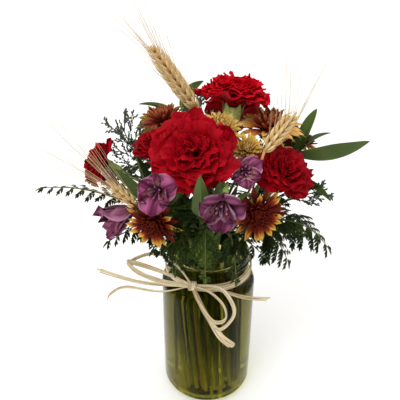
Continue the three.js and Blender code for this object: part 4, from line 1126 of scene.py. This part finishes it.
for number, (name, flower) in enumerate(ALSTROEMERIAS.items()):
    sheaf = Sheaf(101 + number)
    axis, across, r, centre = facing(flower)
    root = centre - axis * ALSTROEMERIA_THROAT * r
    for k in range(6):
        outward = spoke(across, math.radians(60 * k + 30 + flower.get("roll", 0)))
        narrow = k % 2
        size, opening, width = TEPAL_KINDS[narrow]
        length = r * size * sheaf.draw(0.84, 1.08)
        start = root + outward * 0.05 * r
        tepal(sheaf, start, axis, outward, length, flower["open"] * opening, width, narrow)
        droop = unit(outward * 0.35 + axis - np.array([0, 0, 0.25]))
        end = root + axis * 0.95 * r + outward * 0.20 * r
        filament = bend(root, axis, end, droop, FILAMENT_POINTS)
        sheaf.rod(filament, np.linspace(0.5, 0.35, FILAMENT_POINTS) * MM, 6, 3)
        anther = filament[-1] + np.outer(np.linspace(-1.1, 1.1, 5) * MM, droop)
        sheaf.rod(anther, mm([0.3, 0.75, 0.9, 0.75, 0.3]), 6, 3)
    round_body(sheaf, root, axis, np.array([0.0, 0.08, 0.2]) * r, mm([2.0, 2.6, 2.2]), 12, 2)
    head = sheaf.piece(f"alstroemeria_{name}_flower", [*TEPALS[flower["depth"]], stamen_finish])
    dress(head, f"alstroemeria_{name}_bloom")


def leaf_finish(name, bright, deep, vein, roughness=0.42, lines=16.0, tone_and_foot_shade=0.0):
    """A leaf: fine lines from foot to tip, a pale midrib and a soft wax gloss. Where leaves vary
    in tone, some are much deeper than their neighbours, and each is also darker towards its
    foot, which is painted shade."""
    leaf = Finish(name, Roughness=roughness, Specular_IOR_Level=0.08)
    marks = streaks(leaf, lines, 1.0)
    body = leaf.mix(leaf.span(leaf.patches(28.0), 0.3, 0.7), deep, bright)
    # The Along span darkens each leaf towards its foot: painted shade where leaflets crowd.
    spans = [("Streak", 0, 1, 0.35), ("Chance", 0.25, 0.9, tone_and_foot_shade), ("Along", 0.0, 0.6, tone_and_foot_shade)]
    for mark, low, high, most in spans:
        body = leaf.mix(leaf.span(marks[mark], low, high, most, 0.0), body, deep)
    rib = leaf.span(off_middle(leaf, marks["Across"]), 0.01, 0.05, 0.6, 0.0)
    leaf.colour(leaf.mix(rib, body, vein))
    leaf.bump(marks["Streak"], 0.0003, 0.45)
    return leaf


leaf_top = leaf_finish(
    "leaf_top", (0.064, 0.100, 0.016), (0.022, 0.040, 0.007), (0.10, 0.14, 0.035)
)
leaf_under = leaf_finish(
    "leaf_under", (0.09, 0.13, 0.035), (0.05, 0.08, 0.02), (0.13, 0.18, 0.06), 0.55
)


def straight(start, end):
    """Where a straight run between two places starts, its direction and its length."""
    start = mm(start)
    line = mm(end) - start
    length = np.linalg.norm(line)
    return start, line / length, length


def long_leaf(sheaf, foot, tip, width, rise, roll=0):
    """A smooth pointed leaf, folded a little along its midrib and arched along its length."""
    start, ahead, length = straight(foot, tip)
    side, up = about(ahead)
    roll = math.radians(roll)
    cos, sin = math.cos(roll), math.sin(roll)
    side, up = side * cos + up * sin, up * cos - side * sin
    s = np.linspace(0, 1, 18)[:, None]
    w = np.linspace(-1, 1, 9)[None, :]
    body = (s + 0.02) ** 0.62 * (1.0 - s) ** 0.78
    half = width * MM * 0.5 * (body / body.max() * 1.04 + 0.03 * (1 - s))
    wave = 0.06 * np.sin(7 * s + sheaf.draw(0, 6)) * w
    height = rise * MM * 4 * s * (1 - s) + half * (np.abs(w) * 0.5 + wave)
    flat = start + ahead * (s * length + 0 * w)[..., None] + side * (half * w)[..., None]
    sheaf.sheet(flat + up * height[..., None], LEAF_THICKNESS, 1, 2)


for name, (fork, leaves) in ALSTROEMERIA_STEMS.items():
    stalk = Sheaf(121)
    node_name = f"alstroemeria_{name}_stem"
    ends = []
    for flower in ALSTROEMERIAS.values():
        if flower["stem"] == name:
            axis = unit(flower["faces"])
            behind = ALSTROEMERIA_THROAT * flower["radius"] + OVARY_LENGTH
            ends.append((mm(flower["at"] - axis * behind), axis))
    fork, heading, path = forked_stem(stalk, node_name, fork, ends, ALSTROEMERIA_STEM)
    for end, axis in ends:
        slimming = np.linspace(0.7, 0.55, BRANCH_POINTS)
        stalk.rod(bend(fork, heading, end, axis, BRANCH_POINTS), ALSTROEMERIA_STEM * slimming)
        round_body(stalk, end, axis, OVARY_HEIGHTS, OVARY_RADII, 12)
    for leaf in leaves:
        long_leaf(stalk, *leaf)
    for k in range(STEM_LEAVES):
        base = path[-1 - k] / MM
        turn = math.radians(-90 + 75 * ((k % 3) - 1) + stalk.draw(-20, 20))
        out = np.array([math.cos(turn), math.sin(turn), 0])
        tip = base + out * stalk.draw(16, 30) + np.array([0, 0, stalk.draw(40, 58)])
        long_leaf(stalk, base, tip, stalk.draw(18, 25), -4)
    stem = stalk.piece(f"alstroemeria_{name}_stalk", [alstroemeria_stem, leaf_top, leaf_under])
    dress(stem, node_name)

# ---- Wheat ----
# Dried bearded wheat: a thin stalk and an ear of plump husks in two ranks, three to a
# spikelet, each husk drawn out into a long stiff awn.
WHEAT_STEM = 1.4 * MM
SPIKELET_PITCH = 3.9 * MM
EAR_TIP = 12 * MM  # the topmost husks reach on past their foot by about this much
WHEAT = table(
    "from to beard awns spread plump coarse stalk",
    tall=((-12, -8, 319), (-54, 2, 376), 46, (-0.5, 0.05, 0.86), 0.24, 1.0, 1.3, (-4, 0, 250)),
    right=((41, -62, 306), (69, -40, 332), 68, (0.05, 0.4, 0.9), 0.26, 0.86, 1.0, (33, -58, 262)),
    left=((-57, -81, 264), (-84, -76, 288), 92, (-0.78, 0.18, 0.58), 0.30, 0.6, 1.5, (-38, -50, 218)),
)
HUSK_ALONG = np.array([0, 0.12, 0.3, 0.5, 0.7, 0.86, 1.0])
HUSK_SWING = mm([0, 0.9, 2.2, 3.3, 4.0, 4.4, 4.6])
HUSK_RADII = np.array([0.5, 1.2, 1.8, 1.85, 1.4, 0.8, 0.3])
HUSK_LENGTH = 12.5 * MM
AWN_POINTS = 8
STRAW_COLOURS = [
    (0.0, 0.34, 0.19, 0.06),
    (0.35, 0.62, 0.42, 0.17),
    (0.7, 0.74, 0.55, 0.27),
    (1.0, 0.60, 0.47, 0.27),
]

straw = Finish("dry_straw", Roughness=0.55, Specular_IOR_Level=0.15)
straw_marks = streaks(straw, 6.0, 3.0)
straw_body = ramped(straw, straw_marks["Along"], STRAW_COLOURS)
straw_lines = straw.span(straw_marks["Streak"], 0, 1, 0.55, 0)
straw.colour(straw.mix(straw_lines, straw_body, (0.36, 0.21, 0.08)))
straw.bump(straw_marks["Streak"], 0.0004, 0.6)


def husk(sheaf, root, ahead, out, size, awn_way, awn_length, coarse):
    """A pointed husk that leans out from the ear and ends in an awn."""
    body = root + np.outer(HUSK_ALONG * HUSK_LENGTH * size, ahead)
    body = body + np.outer(HUSK_SWING * size, out)
    share = np.linspace(0.12, 1, AWN_POINTS)[:, None]
    way = unit(unit(body[-1] - body[-2]) * 0.5 + awn_way)
    awn = body[-1] + awn_length * (share * way + 0.06 * share**2 * out)
    radii = np.concatenate([HUSK_RADII * size, np.linspace(0.11, 0.05, AWN_POINTS) * coarse])
    marks = np.concatenate([np.linspace(0.1, 0.85, len(HUSK_ALONG)), np.full(AWN_POINTS, 1.0)])
    sheaf.rod(np.concatenate([body, awn]), radii * MM, 7, along=marks)


def stalk_radii(path, radius, share, above):
    """A stalk slims to a share of its radius up to its head, and has its own radii above that."""
    return np.concatenate([radius * np.linspace(1, share, len(path)), mm(above)])


for number, (name, ear) in enumerate(WHEAT.items()):
    sheaf = Sheaf(141 + number)
    start, axis, length = straight(ear["from"], ear["to"])
    u, v = about(axis)
    path = stem_path(f"wheat_{name}", start, start - mm(ear["stalk"]))
    core = start + axis * np.linspace(0.1, 0.92, 6)[:, None] * length
    whole = np.concatenate([path, core])
    radii = stalk_radii(path, WHEAT_STEM, 0.75, np.linspace(1.6, 0.8, 6))
    sheaf.rod(whole, radii, along=np.full(len(whole), 0.45))
    awns = unit(ear["awns"])
    spikelets = round(length / SPIKELET_PITCH)
    for k in range(spikelets):
        share = k / (spikelets - 1)
        slimming = 1 - 0.4 * max(0, share - 0.7) / 0.3
        size = ear["plump"] * slimming * (0.8 + 0.2 * min(1, share * 5))
        root = start + axis * share * (length - EAR_TIP)
        rank = 1 if k % 2 else -1
        for fan in (-1, 0, 1):
            out = unit(rank * u * (1 - 0.25 * abs(fan)) + fan * v * 0.95)
            base = root + axis * abs(fan) * -0.6 * MM + out * 0.9 * MM
            way = unit(awns + out * ear["spread"] * sheaf.draw(0.5, 1.3))
            reach = ear["beard"] * MM * (0.72 + 0.25 * share) * sheaf.draw(0.75, 1.0)
            husk(sheaf, base, unit(axis + 0.12 * out), out, size, way, reach, ear["coarse"])
    dress(sheaf.piece(f"wheat_{name}_ear", [straw]), f"wheat_{name}")

# ---- Leatherleaf fern ----
# Leathery triangular fronds, cut twice: toothed leaflets along side ribs along a midrib. They
# fill the collar of the bouquet and arch down over the mouth of the jar.
FERN_STEM = 1.3 * MM
PINNA_SPACING = 9.6 * MM
LEAFLET_SPACING = 3.9 * MM
LEAFLET_THICKNESS = 0.3 * MM
PINNA_SAG = 0.14
LAST_LEAFLET, LAST_SAG = 0.86, 0.74  # its place on the side rib, and its share of the rib's sag
USUAL_SWEEP = 0.45
# The share of a midrib that is bare before its blade: most where a frond arches high.
ARCHED = 24
ARCHED_BARE, FLAT_BARE, YOUNG_BARE = 0.34, 0.08, 0.12
# Each frond has a few young blades, given by the place they reach, their rise and their width.
FRONDS = table(
    "leaves to rise width young sweep",
    front=(
        (-5, -58, 236), (-4, -86, 194), 34, 36,
        [((-20, -82, 268), 8, 50), ((-38, -78, 222), 16, 40)], 1.5,
    ),
    front_right=(
        (14, -54, 228), (24, -70, 180), 30, 36,
        [((18, -88, 256), 12, 46), ((50, -70, 206), 18, 40)], 1.2,
    ),
    front_left=(
        (-22, -52, 220), (-30, -76, 196), 26, 38,
        [((-52, -70, 254), 10, 44), ((-28, -97, 256), 8, 34), ((-50, -62, 210), 16, 38)], 1.0,
    ),
    right_low=(
        (40, -36, 216), (72, -54, 190), 26, 48,
        [((58, -52, 232), 12, 44), ((66, -10, 194), 24, 44)],
    ),
    right=((50, -28, 230), (108, -53, 204), 26, 56, [((90, -34, 262), 10, 36)]),
    right_front=((44, -52, 234), (96, -64, 226), 18, 44, [((56, -76, 262), 10, 34)]),
    left_low=(
        (-38, -40, 220), (-92, -54, 212), 16, 34,
        [((-68, -18, 196), 24, 44), ((-56, 4, 250), 10, 46)],
    ),
    left=((-72, -34, 242), (-150, -34, 256), 14, 22, [((-92, -26, 262), 8, 30)]),
    back=(
        (6, 58, 226), (14, 112, 196), 34, 58,
        [((2, 76, 276), 8, 54), ((-22, 74, 190), 26, 46), ((0, 20, 270), 6, 50)],
    ),
    back_left=(
        (-50, 36, 228), (-104, 74, 214), 30, 54,
        [((-76, 30, 276), 8, 50), ((-62, 40, 196), 24, 44)],
    ),
    back_right=(
        (52, 28, 226), (104, 66, 206), 28, 52,
        [((56, 34, 276), 8, 50), ((54, 50, 192), 24, 46), ((66, -4, 262), 8, 46)],
    ),
)
# A leaflet's outline: places along it, its half width there, and how far its teeth sweep on.
LEAFLET_ALONG = np.array([0, 0.14, 0.34, 0.42, 0.62, 0.70, 0.86, 1.0])[:, None]
LEAFLET_HALF = np.array([0.3, 0.85, 1.1, 0.78, 0.84, 0.5, 0.42, 0.03])[:, None]
LEAFLET_TEETH = np.array([0, 0.02, 0.06, 0, 0.05, 0, 0.03, 0])[:, None]

# The sides of a leaflet: bright and deep green, midrib, roughness, lines, and how far it
# varies in tone and darkens towards its foot, the last being painted shade. The bright row is
# a lighter copy of the top for the front frond: painted light.
FERN_COLOURS = {
    "top": ((0.064, 0.098, 0.014), (0.005, 0.011, 0.002), (0.10, 0.13, 0.03), 0.55, 6.0, 0.92),
    "bright": ((0.135, 0.20, 0.022), (0.012, 0.024, 0.003), (0.13, 0.18, 0.03), 0.55, 6.0, 0.85),
    "under": ((0.060, 0.090, 0.026), (0.020, 0.034, 0.010), (0.07, 0.10, 0.03), 0.65, 6.0, 0.8),
}
fern = {side: leaf_finish(f"fern_{side}", *look) for side, look in FERN_COLOURS.items()}
fern_stem = stem_finish("fern_stem", (0.12, 0.15, 0.04), (0.06, 0.08, 0.02))


def leaflet(sheaf, root, ahead, up, length, width, tone):
    """A leathery leaflet, cut into a few blunt teeth and drooping a little to its point."""
    s, w = LEAFLET_ALONG, np.array([[-1, 0, 1]])
    half = LEAFLET_HALF * width / 2
    sag = -0.22 * length * s**2 + 0.16 * width * np.abs(w) * (1 - s)
    forward = ahead * ((s + LEAFLET_TEETH * np.abs(w)) * length)[..., None]
    grid = root + forward + np.cross(up, ahead) * (half * w)[..., None] + up * sag[..., None]
    tone = min(1, max(0, tone + sheaf.draw(-0.15, 0.15)))
    sheaf.sheet(grid, LEAFLET_THICKNESS, 0, 1, chance=tone)


def square_to(up, way):
    """The direction nearest to up that is square to a way."""
    return unit(up - way * up.dot(way))


def pinna(sheaf, root, ahead, up, length):
    """One side branch of a frond with its leaflets, tapering to a point."""

    def rib(t):
        return root + ahead * t * length - up * PINNA_SAG * length * t**2

    side = np.cross(up, ahead)
    sheaf.rod(rib(np.linspace(0, 1, 6)[:, None]), np.linspace(0.4, 0.2, 6) * MM, 4, 2)
    pairs = max(2, round(length / LEAFLET_SPACING))
    lit = sheaf.draw(0.6, 1.1)
    for k in range(pairs):
        for turn in (-1, 1):
            t = (k + 0.45 + 0.2 * turn) / (pairs + 0.2)
            reach = ((0.16 * (1 - t) + 0.03) * length + 3.2 * MM) * sheaf.draw(0.85, 1.15)
            way = unit(side * turn * 0.56 + ahead * 0.83 - up * sheaf.draw(0, 0.2))
            leaflet(sheaf, rib(t), way, square_to(up, way), reach, 0.48 * reach, lit - 0.6 * t)
    last = root + ahead * LAST_LEAFLET * length - up * PINNA_SAG * length * LAST_SAG
    reach, width = 0.14 * length + 2.6 * MM, 0.06 * length + 1.8 * MM
    leaflet(sheaf, last, unit(ahead - 0.2 * up), up, reach, width, 0.3)


def frond_curve(leaves, to, rise):
    """Places along a blade's midrib, which arches from where it leaves the stem to its tip."""
    start, end = mm(leaves), mm(to)
    top = (start + end) / 2 + mm([0, 0, rise])
    return lambda t: start * (1 - t) ** 2 + 2 * top * t * (1 - t) + end * t**2


def blade_of(sheaf, at, width, bare, sweep=USUAL_SWEEP):
    """A frond's midrib with its side branches, which start past a bare stretch of the midrib.
    The lowest pair is the longest, so that the whole blade is a long triangle."""
    span = np.linalg.norm(np.diff([at(t) for t in np.linspace(bare, 1, 12)], axis=0), axis=1).sum()
    pairs = max(5, round(span / PINNA_SPACING))
    sheaf.rod([at(t) for t in np.linspace(0, 1, 18)], np.linspace(1.0, 0.3, 18) * MM, 6, 2)
    for i in range(pairs):
        for turn in (-1, 1):
            place = (i + 0.2 + 0.25 * (turn > 0)) / pairs
            share = bare + (1 - bare) * place
            ahead = unit(at(share + 0.02) - at(share - 0.02))
            side, up = about(ahead)
            droop = sheaf.draw(-0.05, 0.30)
            way = unit(side * turn + ahead * (sweep + 0.4 * place) - up * droop)
            length = width * MM / 2 * (1.10 - place) * 1.12 * sheaf.draw(0.9, 1.06) + 2.5 * MM
            pinna(sheaf, at(share), way, square_to(up, way), length)
    last = at(0.94)
    ahead = unit(at(1) - last)
    leaflet(sheaf, last, ahead, about(ahead)[1], 8 * MM, 4 * MM, 0.8)


for number, (name, frond) in enumerate(FRONDS.items()):
    sheaf = Sheaf(161 + number)
    at = frond_curve(frond["leaves"], frond["to"], frond["rise"])
    path = stem_path(f"fern_{name}", at(0), at(0.02) - at(0))
    sheaf.rod(path, FERN_STEM * np.linspace(1, 0.8, len(path)), 8, 2)
    bare = ARCHED_BARE if frond["rise"] > ARCHED else FLAT_BARE
    blade_of(sheaf, at, frond["width"], bare, frond.get("sweep", USUAL_SWEEP))
    for k, (to, rise, width) in enumerate(frond["young"]):
        blade_of(sheaf, frond_curve(path[-4 - k] / MM, to, rise), width, YOUNG_BARE)
    # The front frond takes the lighter copy of the fern green: painted light on it.
    above = fern["bright" if name == "front" else "top"]
    piece = sheaf.piece(f"fern_{name}_frond", [above, fern["under"], fern_stem])
    dress(piece, f"fern_{name}")

# ---- Long-leaved foliage ----
# Two leafy stalks with smooth glossy pointed leaves. The one on the right holds its longest
# leaf out level past the flowers; the other stands behind them.
FOLIAGE_STEM = 1.7 * MM
# Where each stalk passes above the rim, and its leaves: from, to, width, rise and roll.
LEAFY_STALKS = {
    "right": (
        [(48, -20, 236), (66, -21, 262), (76, -20, 284)],
        [
            ((75, -20, 282), (132, -32, 302), 29, -9, -40),
            ((76, -19, 284), (106, -4, 298), 10, 3, -20),
            ((75, -18, 283), (94, 8, 316), 10, 3),
            ((75, -18, 283), (72, 30, 302), 9, 6),
            ((65, -21, 260), (104, -42, 250), 12, 5),
        ],
    ),
    "back": (
        [(-16, 34, 232), (-24, 50, 268), (-28, 58, 306)],
        [
            ((-21, 44, 254), (-84, 52, 262), 14, 6),
            ((-24, 50, 268), (-18, 104, 290), 14, 6),
            ((-26, 54, 284), (-68, 40, 308), 12, 5),
            ((-28, 58, 298), (-6, 84, 318), 12, 4),
            ((-19, 40, 246), (8, 98, 244), 13, 6),
        ],
    ),
}

for name, (passes, leaves) in LEAFY_STALKS.items():
    sheaf = Sheaf(181)
    passes = mm(passes)
    path = stem_path(f"foliage_{name}", passes[0], passes[1] - passes[0])
    radii = stalk_radii(path, FOLIAGE_STEM, 0.75, np.linspace(1.25, 0.7, 9))
    sheaf.rod(np.concatenate([path, smooth_path(passes, 10)[1:]]), radii)
    for leaf in leaves:
        long_leaf(sheaf, *leaf)
    piece = sheaf.piece(f"foliage_{name}_stalk", [alstroemeria_stem, leaf_top, leaf_under])
    dress(piece, f"foliage_{name}")

# ---- Sea lavender ----
# Wiry grey-green sprays that fork again and again, set along their twigs with papery scales.
SEA_LAVENDER_STEM = 1.2 * MM
SIDE_TWIGS = 5
TWIG_SCALES, SIDE_SCALES, TIP_SCALES = 7, 5, 6
SEA_LAVENDER = table(
    "from to twigs",
    left=((-52, -26, 250), (-78, -15, 312), 12),
    right=((62, -24, 238), (102, -30, 256), 8),
    back=((-6, 24, 248), (-12, 60, 308), 8),
)

wiry_twig = stem_finish("wiry_twig", (0.075, 0.10, 0.05), (0.045, 0.06, 0.035), 0.7)
papery_scale = stem_finish("papery_scale", (0.13, 0.15, 0.11), (0.06, 0.08, 0.06), 0.8)


def scaly_twig(sheaf, start, way, length, scales):
    """A wire-thin twig, bowed a little aside, with scales all round it towards its tip."""
    across = about(way)
    aside = across[0] * sheaf.draw(-0.1, 0.1)

    def along(t):
        return start + way * t * length + aside * length * t * (1 - t)

    sheaf.rod(along(np.linspace(0, 1, 6)[:, None]), np.linspace(0.42, 0.2, 6) * MM, 5)
    for k in range(scales):
        base = along(0.35 + 0.62 * k / (scales - 1))
        out = spoke(across, sheaf.phase())
        size = sheaf.draw(0.8, 1.2)
        bead = np.outer(mm([-0.2, 0.5, 1.3, 2.2]) * size, unit(way + 0.55 * out))
        sheaf.rod(base + bead + out * 0.3 * MM, mm([0.25, 0.72, 0.7, 0.12]) * size, 5, 1)


for number, (name, spray) in enumerate(SEA_LAVENDER.items()):
    sheaf = Sheaf(201 + number)
    start, axis, length = straight(spray["from"], spray["to"])
    path = stem_path(f"sea_lavender_{name}", start, axis)
    whole = np.concatenate([path, start + axis * np.linspace(0.15, 1, 7)[:, None] * length])
    sheaf.rod(whole, stalk_radii(path, SEA_LAVENDER_STEM, 0.8, np.linspace(0.85, 0.35, 7)))
    for k in range(spray["twigs"]):
        share = 0.12 + 0.8 * k / spray["twigs"]
        base = start + axis * share * length
        reach = length * (0.56 - 0.3 * share) * sheaf.draw(0.85, 1.15)
        way = unit(axis * 0.8 + spoke(about(axis), GOLDEN_TURN * k) * 0.6)
        scaly_twig(sheaf, base, way, reach, TWIG_SCALES)
        for j in range(SIDE_TWIGS):
            t = 0.25 + 0.14 * j
            fork = unit(way + 0.75 * spoke(about(way), sheaf.phase()))
            scaly_twig(sheaf, base + way * t * reach, fork, reach * (0.46 - 0.05 * j), SIDE_SCALES)
    scaly_twig(sheaf, start + axis * 0.8 * length, axis, 0.2 * length, TIP_SCALES)
    piece = sheaf.piece(f"sea_lavender_{name}_spray", [wiry_twig, papery_scale])
    dress(piece, f"sea_lavender_{name}")
